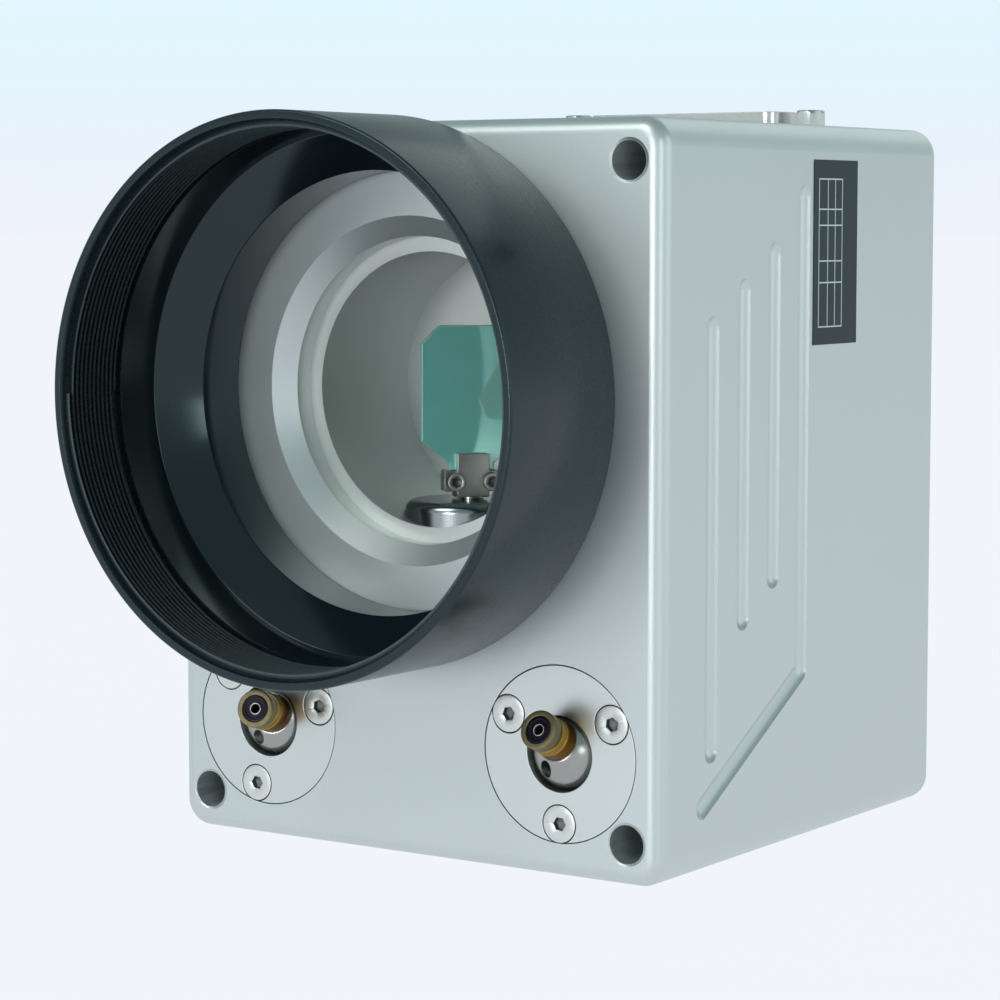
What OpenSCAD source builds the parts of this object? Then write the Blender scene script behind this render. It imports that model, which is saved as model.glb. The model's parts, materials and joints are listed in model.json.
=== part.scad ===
// Two-axis galvo scanner head with an F-theta lens adapter and two aiming pointers.
// Millimetres. The origin is the centre of the flat bottom face, +Z is up, and the
// scanned beam leaves through the lens adapter along -Y. "Depth" is the distance
// behind the front face, so depth 0 is y = -body_d / 2.

/* [Housing] */
// Width of the housing along X
body_w = 94.5; // [92:0.5:120]
// Depth of the housing along Y
body_d = 92; // [92:0.5:115]
// Height of the housing
body_h = 117.4; // [117.4:0.2:145]
// Fillet round the front and the back face, and of the four corners there
edge_r = 2.5; // [1:0.5:4]
// Fillet of the four long edges that run from front to back
corner_r = 4.5; // [4.5:0.5:5.5]
// Thickness of the front wall, which carries everything
front_wall = 10.7; // [10.5:0.1:13]
// Thickness of the side, top and bottom walls
side_wall = 6; // [5.5:0.1:6]
// Diameter of the four mounting holes that run through the whole depth
through_hole_d = 6.1; // [4.2:0.1:6.6]
// Mounting hole centre, in from each side face
hole_inset_x = 6.1; // [5.6:0.1:6.2]
// Mounting hole centre, in from the top and bottom faces
hole_inset_z = 6.6; // [6:0.1:6.7]
// Radius of the solid corner column around each mounting hole
column_r = 6.6; // [5.5:0.1:6.8]

/* [Back cover] */
// Thickness of the recessed back cover
cover_t = 4; // [3:0.5:6]
// Width of the rim left around the cover
cover_rim = 3.5; // [3.2:0.1:4.5]
// Thickness of the flat gasket under the cover
gasket_t = 0.5; // [0.3:0.1:1]
// Cover screw centre, in from the cover's edge
cover_screw_inset = 5; // [4.5:0.1:6]
// Length of the screw bosses behind the cover
boss_len = 8; // [6:0.5:12]
// Radius of the screw bosses
boss_r = 4.5; // [4:0.1:5]

/* [Side grooves] */
// Width of a ball-nosed groove at the surface
groove_w = 3.7; // [2:0.1:5]
// Depth of a groove
groove_depth = 1; // [0.4:0.1:1.5]
// Distance from one groove to the next
groove_pitch = 9.6; // [7:0.1:12]
// Depth of the first groove behind the front face
groove_first = 14.9; // [12:0.1:20]

/* [Lens adapter] */
// Lens axis, sideways from the middle of the housing
lens_x = -5.5; // [-6:0.1:-4.5]
// Lens axis above the bottom face
lens_z = 74.2; // [73.5:0.1:74.4]
// Length of the adapter in front of the housing
hood_len = 28; // [25:0.1:40]
// Major diameter of the internal lens thread (metric, 1 mm pitch)
thread_d = 85; // [80:0.5:86]
// Wall of the adapter outside the thread
hood_wall = 1.8; // [1.2:0.1:3]
// Length of the thread behind its lead-in chamfer
thread_len = 11.3; // [8:0.1:12]
// Lead-in chamfer of the thread
lead_in = 1.1; // [0.5:0.1:1.5]
// Step inward from the thread's major diameter to the plain bore behind it
relief_step = 0.6; // [0.5:0.1:0.9]
// Step inward from the thread's major diameter to the cone's wide end
cone_step = 1; // [0.5:0.1:3]
// Distance from the rim to the start of the cone
cone_start = 21.3; // [18:0.1:22]
// Distance from the rim to the end of the cone
cone_end = 26.8; // [25:0.1:30]
// Diameter of the spigot that seats in the housing
spigot_d = 76; // [63:0.5:76]
// Wall of the spigot around the throat
spigot_wall = 2.5; // [1.5:0.1:3]
// Length of the spigot
spigot_len = 8; // [5:0.1:8]

/* [Scanner block] */
// Diameter of the chamber in which the mirrors turn
chamber_d = 45.2; // [43:0.1:48]
// Depth of the chamber's flat end
chamber_end = 38.6; // [38:0.1:44]
// Diameter of the window seat in front of the chamber
seat_d = 50.2; // [48:0.1:52]
// Length of the window seat
seat_len = 3.5; // [2:0.1:4]
// Diameter of the mouth in the housing's web
mouth_d = 56.8; // [54:0.1:60]
// Depth of the two mirrors' common plane
scan_depth = 25.4; // [25:0.1:28]
// Distance between the two mirrors' axes
mirror_gap = 15; // [14.5:0.1:17]
// Thickness of the block around the chamber
block_wall = 5; // [4:0.5:5.5]
// Thickness of the block's front flange
flange_t = 5; // [4:0.5:8]
// Diameter of the beam entry hole in the top
beam_port_d = 16; // [12:0.5:18]
// Side of the square of tapped holes around the beam entry
beam_bolt_pitch = 26; // [24:0.5:30]

/* [Galvo motors] */
// Diameter of a motor
motor_d = 21.8; // [18:0.1:22.2]
// Length of a motor body
motor_len = 39.5; // [32:0.5:39.5]
// Height of the sensor cap behind a motor
cap_len = 7; // [5:0.5:7]
// Height of the Y motor's nose above the bottom face
nose_z = 55.5; // [54.5:0.1:56]
// Depth of the X motor's nose
nose_depth = 40.6; // [40:0.1:40.8]
// Diameter of a rotor shaft
shaft_d = 3; // [2.5:0.1:4]
// Running clearance of a shaft in its bearings, on the radius
shaft_gap = 0.03; // [0.01:0.01:0.1]

/* [Mirrors] */
// Thickness of a mirror
mirror_t = 1.8; // [1:0.1:2]
// Half width of the Y mirror
y_mirror_half = 8.4; // [6:0.1:9]
// Top edge of the Y mirror above the lens axis
y_mirror_top = 10.25; // [8:0.05:12]
// Half width of the X mirror
x_mirror_half = 7.5; // [6:0.1:7.7]
// Tip of the X mirror in front of the scan plane
x_mirror_tip = 6.6; // [5:0.1:7]
// Width of the clamp jaw
jaw_w = 5.4; // [5:0.1:6]
// Height of the clamp jaw
jaw_h = 7.7; // [7:0.1:8.5]

/* [Aiming pointers] */
// Pointer centre, in from each side face
pointer_inset = 18.45; // [17.5:0.05:20]
// Pointer centre above the bottom face
pointer_z = 19.4; // [19.2:0.1:20]
// Diameter of the clamp plate
plate_d = 27.8; // [27:0.1:28]
// Thickness of the clamp plate
plate_t = 3; // [2.6:0.1:4]
// How far the plate's bore edge reaches in over the ball
plate_lip = 0.5; // [0.3:0.1:1]
// Radius of the circle of plate screws
plate_screw_r = 11; // [10.8:0.1:11.2]
// Diameter of the ball
ball_d = 13; // [10.8:0.1:13.2]
// Depth of the ball's centre
ball_depth = 4.5; // [4.3:0.1:4.6]
// Diameter of the brass barrel
barrel_d = 6.3; // [5.6:0.1:6.5]
// Length of the brass barrel
barrel_len = 17.2; // [15:0.1:17.2]
// How far the right barrel's rear end stops short of the ball's radius
right_inset = 1; // [1:0.1:3.3]
// How far the left barrel's rear end stops short of the ball's radius
left_inset = 2.5; // [1:0.1:3.3]
// Steepest tilt that a clamp plate leaves room for
tilt_limit = 26; // [10:0.5:26]
// Tilt of the right pointer away from the lens axis direction
right_tilt = 24; // [0:0.5:26]
// Direction of the right pointer's tilt, clockwise from straight up
right_swing = 2; // [-90:1:90]
// Tilt of the left pointer
left_tilt = 21.5; // [0:0.5:26]
// Direction of the left pointer's tilt
left_swing = 47; // [-90:1:90]
// Turn of the left clamp plate about its own axis
left_plate_turn = 13; // [-60:1:60]
// Turn of the right ball about its barrel, seen at its adjuster hole
right_spin = 18.5; // [-90:0.5:90]
// Turn of the left ball about its barrel
left_spin = -16.5; // [-90:0.5:90]
// Gap around a clamp plate and around its screw heads
plate_gap = 0.15; // [0.05:0.01:0.3]

/* [Connector] */
// Connector centre, in from the back face
conn_inset = 20.4; // [19.5:0.1:24]
// Wall left over the connector's flange
conn_wall = 2.9; // [2:0.1:3.4]
// Distance between the two jackscrews
jack_pitch = 47.04; // [47.04]
// Height of the jackscrews above the top face
jack_h = 3.1; // [2:0.1:6]

/* [Label] */
// Width of the label
label_w = 14.9; // [10:0.1:20]
// Height of the label
label_h = 30; // [20:0.5:40]
// Front edge of the label behind the front face
label_depth = 46.7; // [46.4:0.1:50]
// Top edge of the label below the top face
label_drop = 5.8; // [5:0.1:12]

/* [Hidden] */
$fn = 96;

// Small clearances
bond = 0.02;
slip = 0.05;
seam = 0.1;
past = 1;

// Housing
cavity_end = body_d - cover_t - gasket_t;
ledge = side_wall - cover_rim;
hole_x = body_w / 2 - hole_inset_x;
hole_rows = [hole_inset_z, body_h - hole_inset_z];
cover_w = body_w - 2 * cover_rim;
cover_h = body_h - 2 * cover_rim;
cover_side_x = cover_w / 2 - cover_screw_inset;
cover_screw_spots = concat(
    [for (s = [-1, 1], k = [0.3, 0, -0.3]) [s * cover_side_x, body_h / 2 + k * body_h]],
    [for (s = [-1, 1], t = [-1, 1]) [s * 20, body_h / 2 + t * (cover_h / 2 - cover_screw_inset)]]);
tap_r = 1.55;
m3_r = 1.5;

// Grooves: the number, bottom and top of each, and the depth and height of the long one's foot
groove_runs = [[0, 19.4, 85.3], [1, 39.2, 90.9], [2, 44.9, 96.5]];
long_groove = [3, 28.7, 105.6];
groove_foot = [12.4, 10.9];
groove_nose_r = (pow(groove_w / 2, 2) + pow(groove_depth, 2)) / (2 * groove_depth);

// Lens adapter and scanner block
spigot_r = spigot_d / 2;
chamber_r = chamber_d / 2;
seat_end = front_wall + seat_len;
motor_x = lens_x + mirror_gap;
motor_r = motor_d / 2;
motor_bore_r = motor_r + slip;
block_front = front_wall;
block_x0 = lens_x - chamber_r - block_wall;
block_x1 = motor_x + motor_r + block_wall;
block_back = nose_depth + 5.4;
block_half_h = chamber_r + block_wall;
block_screw_head_r = 2.75;
flange_x0 = side_wall - body_w / 2 + 0.35;
flange_x1 = block_x1 + 2 * block_screw_head_r + 0.8;
flange_screw_rise = 24.2;
flange_half_h = flange_screw_rise + 3;
flange_screws = [
    for (x = [flange_x0 + 3, flange_x1 - 3.3], t = [-1, 1]) [x, lens_z + flange_screw_rise * t]];
boss_half = motor_r + 4.6;
clamp_screw_x = motor_r + 2.4;
y_boss_end = 30;
y_slit_top = y_boss_end + 13;
x_boss_end = nose_depth + 19.4;
x_slit_top = block_back + 0.8;
beam_hole_r = 7;

// Motors, each drawn with its nose at z = 0 and its shaft pointing up
body_wall = 2.9;
nose_t = 4;
nose_fillet = 1.6;
bearing_r = 4;
bearing_t = 3;
shaft_r = shaft_d / 2;
shaft_nose = 4;
magnet_r = 3.6;
coil_r = 4.2;
spigot_t = 4;
y_mirror_reach = lens_z + y_mirror_top - nose_z;
x_mirror_reach = nose_depth - scan_depth + x_mirror_tip;

// Clamp and mirror foot, in the same frame
clamp_gap = 0.3;
jaw_screw_x = 3.05;
jaw_screw_z = 3.1;
mirror_foot_z = 4.9;
foot_half = 3.75;
foot_top = 6.1;

// Pointers
pointer_x = body_w / 2 - pointer_inset;
ball_r = ball_d / 2;
ball_gap = 0.05;
barrel_r = barrel_d / 2;
plate_bore_r = ball_r - plate_lip;
tilt_r = barrel_r / cos(tilt_limit) + 0.29;
ring_r = 8.35;
ring_t = 1.6;
ring_back = ball_depth + ball_r - 1.35;
ring_bore_r = sqrt(pow(ball_r + ball_gap, 2) - pow(ring_back - 0.3 - ball_depth, 2));
pocket_r = ring_r + seam;
pocket_end = ring_back + slip;
lip_r = ball_r;
adjuster_reach = 4.7;
plate_head_r = 2.95;
plate_head_t = 1.6;
cell_r = 2.17;

// Connector
conn_x = motor_x;
conn_y = body_d / 2 - conn_inset;
conn_rise = 5.8;
shell_w = 38.96;
shell_d = 8.36;
shell_r = 2.6;
shell_slope = 10;
shell_t = 0.5;
conn_flange = [53, 12.5, 1];
conn_top = body_h - conn_wall;
pin_pitch = 2.76;
pin_row = 1.42;
hex_r = 2.75;
nut_t = 2.4;
jack_shank = conn_wall + conn_flange[2] + nut_t;

// Servo boards
board_t = 1.6;
board_gap = 5;
board_depth = 48;
board_len = 30;
board_z = 16;
board_h = 84;
post_inset = 3.5;

function y_at(depth) = depth - body_d / 2;

// ---------- helpers ----------

// Extrude a shape drawn in X and Z from one depth to another
module along_y(depth0, depth1) {
    translate([0, y_at(depth1), 0]) rotate([90, 0, 0]) linear_extrude(depth1 - depth0) children();
}

// Extrude a shape drawn in Y and Z along X
module along_x(x0, x1) {
    translate([x0, 0, 0]) rotate([90, 0, 90]) linear_extrude(x1 - x0) children();
}

// A round bar along Y between two depths
module bar_y(x, z, r, depth0, depth1) {
    translate([x, y_at(depth0), z]) rotate([-90, 0, 0]) cylinder(r = r, h = depth1 - depth0);
}

// A round bar along Z
module bar_z(x, y, r, z0, z1) {
    translate([x, y, z0]) cylinder(r = r, h = z1 - z0);
}

module rounded_rect(w, h, r) {
    square([w - 2 * r, h], center = true);
    square([w, h - 2 * r], center = true);
    for (x = [-1, 1], y = [-1, 1]) translate([x * (w / 2 - r), y * (h / 2 - r)]) circle(r);
}

module at_holes() {
    for (s = [-1, 1], z = hole_rows) translate([s * hole_x, z]) children();
}

// ---------- housing ----------

module outer_block() {
    translate([0, 0, corner_r]) linear_extrude(body_h - 2 * corner_r) rounded_rect(body_w, body_d, edge_r);
    along_x(corner_r - body_w / 2, body_w / 2 - corner_r) translate([0, body_h / 2])
        rounded_rect(body_d, body_h, edge_r);
    for (s = [-1, 1], z = [corner_r, body_h - corner_r])
        translate([s * (body_w / 2 - corner_r), 0, z]) rotate([-90, 0, 0]) rotate_extrude()
            intersection() {
                rounded_rect(2 * corner_r, body_d, edge_r);
                translate([0, -body_d / 2]) square([corner_r, body_d]);
            }
}

// Outline of the cover, smaller all round by gap
module cover_outline(gap) {
    difference() {
        translate([0, body_h / 2]) square([cover_w - 2 * gap, cover_h - 2 * gap], center = true);
        at_holes() circle(column_r + gap);
    }
}

// Outline of the hollow inside, smaller all round by gap
module cavity_outline(gap) {
    difference() {
        translate([0, body_h / 2])
            square([body_w - 2 * (side_wall + gap), body_h - 2 * (side_wall + gap)], center = true);
        at_holes() circle(column_r + ledge + gap);
    }
}

function groove_y(i) = y_at(groove_first + i * groove_pitch);

// Path of a ball-nosed cutter of radius r over the right face, from a to b in Y and Z
module groove_run(a, b, r) {
    length = norm(b - a);
    turn = atan2(b[1] - a[1], b[0] - a[0]);
    translate([body_w / 2 - groove_depth + r, a[0], a[1]]) rotate([turn - 90, 0, 0])
        rotate_extrude() intersection() {
            union() {
                circle(r);
                translate([0, length]) circle(r);
                translate([-r, 0]) square([2 * r, length]);
            }
            translate([0, -r]) square([r, length + 2 * r]);
        }
}

module right_grooves() {
    for (g = groove_runs)
        groove_run([groove_y(g[0]), g[1]], [groove_y(g[0]), g[2]], groove_nose_r);
    bend = [groove_y(long_groove[0]), long_groove[1]];
    groove_run(bend, [bend[0], long_groove[2]], groove_nose_r);
    groove_run(bend, [y_at(groove_foot[0]), groove_foot[1]], groove_nose_r - bond);
}

module pointer_pocket(s, turn) {
    x = s * pointer_x;
    bar_y(x, pointer_z, plate_d / 2 + plate_gap, -past, plate_t);
    bar_y(x, pointer_z, pocket_r, -past, pocket_end);
    bar_y(x, pointer_z, lip_r, -past, front_wall + past);
    for (a = [30, 150, 270])
        bar_y(x + plate_screw_r * cos(a - turn), pointer_z + plate_screw_r * sin(a - turn),
            tap_r, plate_t - slip, plate_t + 5.6);
}

// D-shaped opening for the connector
module d_outline(w, d, slope) {
    lean = d / 2 * tan(slope);
    polygon([
        [lean - w / 2, -d / 2], [w / 2 - lean, -d / 2], [w / 2 + lean, d / 2], [-lean - w / 2, d / 2]]);
}

module connector_opening() {
    translate([conn_x, conn_y, 0]) {
        translate([0, 0, body_h - side_wall - past]) linear_extrude(side_wall + 2 * past)
            d_outline(shell_w, shell_d + 1, shell_slope);
        translate([-conn_flange[0] / 2 - 0.5, -conn_flange[1] / 2 - 0.5, body_h - side_wall - past])
            cube([conn_flange[0] + 1, conn_flange[1] + 1, side_wall + past - conn_wall]);
        for (s = [-1, 1]) bar_z(s * jack_pitch / 2, 0, 1.7, body_h - side_wall - past, body_h + past);
    }
}

module beam_port() {
    y = y_at(scan_depth);
    bar_z(motor_x, y, beam_port_d / 2, body_h - side_wall - past, body_h + past);
    for (a = [-1, 1], b = [-1, 1])
        bar_z(motor_x + a * beam_bolt_pitch / 2, y + b * beam_bolt_pitch / 2, m3_r,
            body_h - side_wall + 1, body_h + past);
}

module housing() {
    color([0.78, 0.80, 0.80])
    difference() {
        union() {
            difference() {
                outer_block();
                along_y(front_wall, cavity_end) cavity_outline(0);
            }
            for (p = cover_screw_spots) bar_y(p[0], p[1], boss_r, cavity_end - boss_len, cavity_end);
        }
        along_y(cavity_end, body_d + past) cover_outline(0);
        for (s = [-1, 1], z = hole_rows) bar_y(s * hole_x, z, through_hole_d / 2, -past, body_d + past);
        for (p = cover_screw_spots) bar_y(p[0], p[1], tap_r, cavity_end - boss_len + 1, cavity_end + past);
        bar_y(lens_x, lens_z, spigot_r + slip, -past, spigot_len);
        bar_y(lens_x, lens_z, seat_d / 2, -past, front_wall + past);
        translate([lens_x, y_at(spigot_len), lens_z]) rotate([-90, 0, 0])
            cylinder(r1 = mouth_d / 2, r2 = seat_d / 2, h = front_wall - spigot_len);
        for (p = flange_screws) bar_y(p[0], p[1], tap_r, front_wall - 6, front_wall + past);
        pointer_pocket(1, 0);
        pointer_pocket(-1, left_plate_turn);
        connector_opening();
        beam_port();
        right_grooves();
        mirror([1, 0, 0]) right_grooves();
    }
}

// ---------- back cover ----------

module back_cover() {
    color([0.74, 0.76, 0.77])
    difference() {
        along_y(body_d - cover_t, body_d) cover_outline(seam);
        for (p = cover_screw_spots) {
            bar_y(p[0], p[1], 1.65, body_d - cover_t - past, body_d + past);
            bar_y(p[0], p[1], 3.1, body_d - 2.2, body_d + past);
        }
    }
}

module cover_gasket() {
    color([0.1, 0.1, 0.1])
    difference() {
        along_y(cavity_end, cavity_end + gasket_t) cover_outline(seam);
        along_y(cavity_end - past, cavity_end + past) cavity_outline(-0.2);
        for (p = cover_screw_spots) bar_y(p[0], p[1], 1.65, cavity_end - past, cavity_end + past);
    }
}

// A socket screw along Y: its head lies between head_depth and head_depth + head_t, and its
// shank runs towards the front
module socket_screw(x, z, r, head_r, head_t, head_depth, length, socket_r) {
    difference() {
        union() {
            bar_y(x, z, head_r, head_depth, head_depth + head_t);
            bar_y(x, z, r, head_depth - length, head_depth);
        }
        translate([x, y_at(head_depth + head_t * 0.45), z]) rotate([-90, 0, 0])
            cylinder(r = socket_r, h = head_t, $fn = 6);
    }
}

module cover_screws() {
    color([0.6, 0.6, 0.62])
    for (p = cover_screw_spots) socket_screw(p[0], p[1], m3_r, 3, 2.1, body_d - 2.2, 8, 1.15);
}

// ---------- lens adapter ----------

module lens_adapter() {
    bore_r = thread_d / 2;
    r = bore_r + hood_wall;
    throat_r = spigot_r - spigot_wall;
    rim_r = 0.8;
    groove_at = lead_in + thread_len;
    groove_to = groove_at + 0.9;
    groove_r = bore_r + 0.55;
    color([0.08, 0.09, 0.09])
    translate([lens_x, y_at(0), lens_z]) rotate([-90, 0, 0]) rotate_extrude() {
        polygon([
            [bore_r + 0.4, -hood_len],
            [r - rim_r, -hood_len],
            [r - rim_r, rim_r - hood_len],
            [r, rim_r - hood_len],
            [r, 0],
            [spigot_r, 0],
            [spigot_r, spigot_len],
            [throat_r, spigot_len],
            [throat_r, cone_end - hood_len],
            [bore_r - cone_step, cone_start - hood_len],
            [bore_r - relief_step, cone_start - hood_len],
            [bore_r - relief_step, groove_to - hood_len],
            [groove_r, groove_to - hood_len],
            [groove_r, groove_at - hood_len],
            [bore_r, groove_at - hood_len],
            [bore_r, lead_in - hood_len]]);
        translate([r - rim_r, rim_r - hood_len]) circle(rim_r);
    }
}

// ---------- scanner block ----------

// Place something drawn in a motor's own frame: nose at z = 0, shaft pointing up
module at_y_motor() {
    translate([lens_x, y_at(scan_depth), nose_z]) children();
}

module at_x_motor() {
    translate([motor_x, y_at(nose_depth), lens_z]) rotate([90, 0, 0]) children();
}

// Bore, clamp slit and clamp screw hole of a motor seat that runs from bottom_z up
module motor_seat_cut(bottom_z, slit_top) {
    screw_z = (bottom_z + slit_top) / 2;
    translate([0, 0, bottom_z - past]) cylinder(r = motor_bore_r, h = 4 * motor_r - bottom_z);
    translate([0, -0.75, bottom_z - past]) cube([boss_half + past, 1.5, slit_top - bottom_z + past]);
    translate([clamp_screw_x, boss_half + past, screw_z]) rotate([90, 0, 0])
        cylinder(r = m3_r + slip, h = 2 * (boss_half + past));
    translate([clamp_screw_x, -boss_half - past, screw_z]) rotate([-90, 0, 0])
        cylinder(r = 2.9, h = 3.2 + past);
}

module scanner_block() {
    color([0.70, 0.72, 0.72])
    difference() {
        union() {
            along_y(block_front, block_front + flange_t)
                translate([flange_x0, lens_z - flange_half_h])
                    square([flange_x1 - flange_x0, 2 * flange_half_h]);
            along_y(block_front, block_back) translate([block_x0, lens_z - block_half_h])
                square([block_x1 - block_x0, 2 * block_half_h]);
            translate([lens_x - boss_half, y_at(block_front), y_boss_end])
                cube([2 * boss_half, scan_depth - block_front + boss_half, lens_z - y_boss_end]);
            along_y(block_back - past, x_boss_end) translate([motor_x, lens_z])
                square(2 * boss_half, center = true);
        }
        bar_y(lens_x, lens_z, seat_d / 2, block_front - past, seat_end);
        bar_y(lens_x, lens_z, chamber_r, block_front - past, chamber_end);
        intersection() {
            at_y_motor() rotate([0, 0, 180]) motor_seat_cut(y_boss_end - nose_z, y_slit_top - nose_z);
            translate([-body_w, -body_d, 0]) cube([2 * body_w, 2 * body_d, lens_z]);
        }
        intersection() {
            at_x_motor() motor_seat_cut(nose_depth - x_boss_end, nose_depth - x_slit_top);
            along_y(scan_depth + 8, body_d) translate([-body_w, 0]) square([2 * body_w, body_h]);
        }
        bar_z(motor_x, y_at(scan_depth), beam_hole_r, lens_z, body_h);
        for (p = flange_screws) bar_y(p[0], p[1], tap_r, block_front - past, block_back);
    }
}

module block_screws() {
    color([0.25, 0.25, 0.26])
    for (p = flange_screws)
        socket_screw(p[0], p[1], m3_r, block_screw_head_r, 3, front_wall + flange_t, 10.8, 1.4);
}

// Clamp screw of one motor seat, in the motor's frame
module motor_clamp_screw(z) {
    translate([clamp_screw_x, 0.1 - boss_half, z]) rotate([-90, 0, 0]) difference() {
        union() {
            cylinder(r = block_screw_head_r, h = 3.1);
            cylinder(r = m3_r, h = 2 * boss_half - 4);
        }
        translate([0, 0, -past]) cylinder(r = 1.4, h = past + 1.8, $fn = 6);
    }
}

module motor_clamp_screws() {
    color([0.25, 0.25, 0.26]) {
        at_y_motor() rotate([0, 0, 180]) motor_clamp_screw((y_boss_end + y_slit_top) / 2 - nose_z);
        at_x_motor() motor_clamp_screw(nose_depth - (x_boss_end + x_slit_top) / 2);
    }
}

// ---------- galvo motors ----------

module motor_body() {
    flat_r = motor_r - nose_fillet;
    bore_r = motor_r - body_wall;
    color([0.55, 0.56, 0.58])
    rotate_extrude() {
        difference() {
            union() {
                translate([0, -motor_len]) square([motor_r, motor_len - nose_fillet]);
                translate([0, -nose_fillet]) square([flat_r, nose_fillet]);
                intersection() {
                    translate([flat_r, -nose_fillet]) circle(nose_fillet);
                    translate([0, -nose_fillet - slip]) square([motor_r, nose_fillet + slip]);
                }
            }
            translate([0, -motor_len - past]) square([bore_r, motor_len + past - nose_t]);
            translate([0, -nose_t - past]) square([bearing_r, bearing_t + past]);
            translate([0, -nose_t]) square([shaft_r + 0.6, nose_t + past]);
        }
    }
}

module motor_coil() {
    length = motor_len - nose_t - spigot_t - 2;
    color([0.72, 0.42, 0.2])
    translate([0, 0, -nose_t - 1 - length]) difference() {
        cylinder(r = motor_r - body_wall, h = length);
        translate([0, 0, -past]) cylinder(r = coil_r, h = length + 2 * past);
    }
}

module motor_bearings() {
    color([0.8, 0.8, 0.82])
    for (z = [-nose_t, -motor_len + 0.5]) translate([0, 0, z]) difference() {
        cylinder(r = bearing_r, h = bearing_t);
        translate([0, 0, -past]) cylinder(r = shaft_r + shaft_gap, h = bearing_t + 2 * past);
    }
}

module rotor_shaft() {
    color([0.65, 0.66, 0.68])
    translate([0, 0, -motor_len - 2.5]) cylinder(r = shaft_r, h = motor_len + 2.5 + shaft_nose);
}

module rotor_magnet() {
    length = motor_len - nose_t - spigot_t - 4;
    color([0.4, 0.4, 0.42])
    translate([0, 0, -nose_t - 2 - length]) difference() {
        cylinder(r = magnet_r, h = length);
        translate([0, 0, -past]) cylinder(r = shaft_r, h = length + 2 * past);
    }
}

// Plastic cup that closes the motor, seats the rear bearing and covers the angle sensor
module sensor_cap() {
    color([0.12, 0.12, 0.13])
    translate([0, 0, -motor_len]) difference() {
        union() {
            translate([0, 0, -cap_len]) cylinder(r = motor_r, h = cap_len);
            cylinder(r = motor_r - body_wall - slip, h = spigot_t);
        }
        translate([0, 0, -cap_len + 1.5]) cylinder(r = motor_r - 2, h = cap_len - 3);
        translate([0, 0, -cap_len + 2]) cylinder(r = shaft_r + 0.6, h = cap_len + spigot_t);
        translate([0, 0, 0.5]) cylinder(r = bearing_r, h = spigot_t);
    }
}

// ---------- mirror clamps, drawn with the mirror's face towards -Y ----------

module clamp_base() {
    back = 3;
    front = mirror_t / 2 + slip;
    top = mirror_foot_z - seam;
    color([0.75, 0.76, 0.77])
    difference() {
        union() {
            translate([-jaw_w / 2, -front, clamp_gap]) cube([jaw_w, front + back, top - clamp_gap]);
            translate([-4.6, -front, 1.3]) cube([9.2, front + back, top - 1.3]);
            translate([-jaw_w / 2, front, clamp_gap])
                cube([jaw_w, back - front, jaw_h + 0.2 - clamp_gap]);
        }
        translate([0, 0, -past]) cylinder(r = shaft_r + bond, h = shaft_nose + bond + past);
        for (s = [-1, 1]) translate([s * jaw_screw_x, -back, jaw_screw_z]) rotate([-90, 0, 0])
            cylinder(r = 0.8, h = 2 * back - 0.6);
    }
}

module clamp_jaw() {
    back = mirror_t / 2 + slip;
    color([0.8, 0.81, 0.82])
    difference() {
        translate([-jaw_w / 2, -back - 1.6, 0.5]) cube([jaw_w, 1.6, jaw_h - 0.5]);
        cylinder(r = shaft_r + slip, h = shaft_nose + slip);
        for (s = [-1, 1]) translate([s * jaw_screw_x, -2 * back - past, jaw_screw_z]) rotate([-90, 0, 0])
            cylinder(r = 0.85, h = 2 * back + past);
    }
}

module clamp_screws() {
    front = mirror_t / 2 + slip + 1.6;
    color([0.7, 0.7, 0.72])
    for (s = [-1, 1]) translate([s * jaw_screw_x, -front, jaw_screw_z]) rotate([-90, 0, 0])
        difference() {
            union() {
                cylinder(r = 0.8, h = front + 2.4);
                translate([0, 0, -1.6]) cylinder(r = 1.5, h = 1.6);
            }
            translate([0, 0, -1.6 - past]) cylinder(r = 0.87, h = 0.9 + past, $fn = 6);
        }
}

// Octagonal mirror with a foot for the clamp; reach is the height of its tip
module mirror_plate(half, reach, corner, shoulder) {
    translate([0, mirror_t / 2, 0]) rotate([90, 0, 0]) linear_extrude(mirror_t)
        polygon([
            [-foot_half, mirror_foot_z], [foot_half, mirror_foot_z], [foot_half, foot_top],
            [half, shoulder], [half, reach - corner], [half - corner, reach],
            [corner - half, reach], [-half, reach - corner], [-half, shoulder],
            [-foot_half, foot_top]]);
}

// The Y mirror looks half way between the lens and the X mirror
module at_y_mirror() {
    at_y_motor() rotate([0, 0, 45]) children();
}

// The X mirror looks half way between the Y mirror and the beam entry
module at_x_mirror() {
    at_x_motor() rotate([0, 0, -135]) children();
}

module y_mirror() {
    color([0.35, 0.68, 0.64])
    at_y_mirror() mirror_plate(y_mirror_half, y_mirror_reach, 3.05, lens_z - 8.95 - nose_z);
}

module x_mirror() {
    color([0.75, 0.6, 0.5])
    at_x_mirror() mirror_plate(x_mirror_half, x_mirror_reach, 2.6, 9.3);
}

// ---------- aiming pointers ----------

module at_pointer(s) {
    translate([s * pointer_x, y_at(ball_depth), pointer_z]) children();
}

// Along the aimed barrel, with the light leaving along -Y
module aim(s) {
    at_pointer(s) rotate([0, s > 0 ? right_swing : left_swing, 0])
        rotate([s > 0 ? -right_tilt : -left_tilt, 0, 0]) children();
}

// Distance from the ball's centre to the barrel's front
function reach(s) = barrel_len - ball_r + (s > 0 ? right_inset : left_inset);

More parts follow.
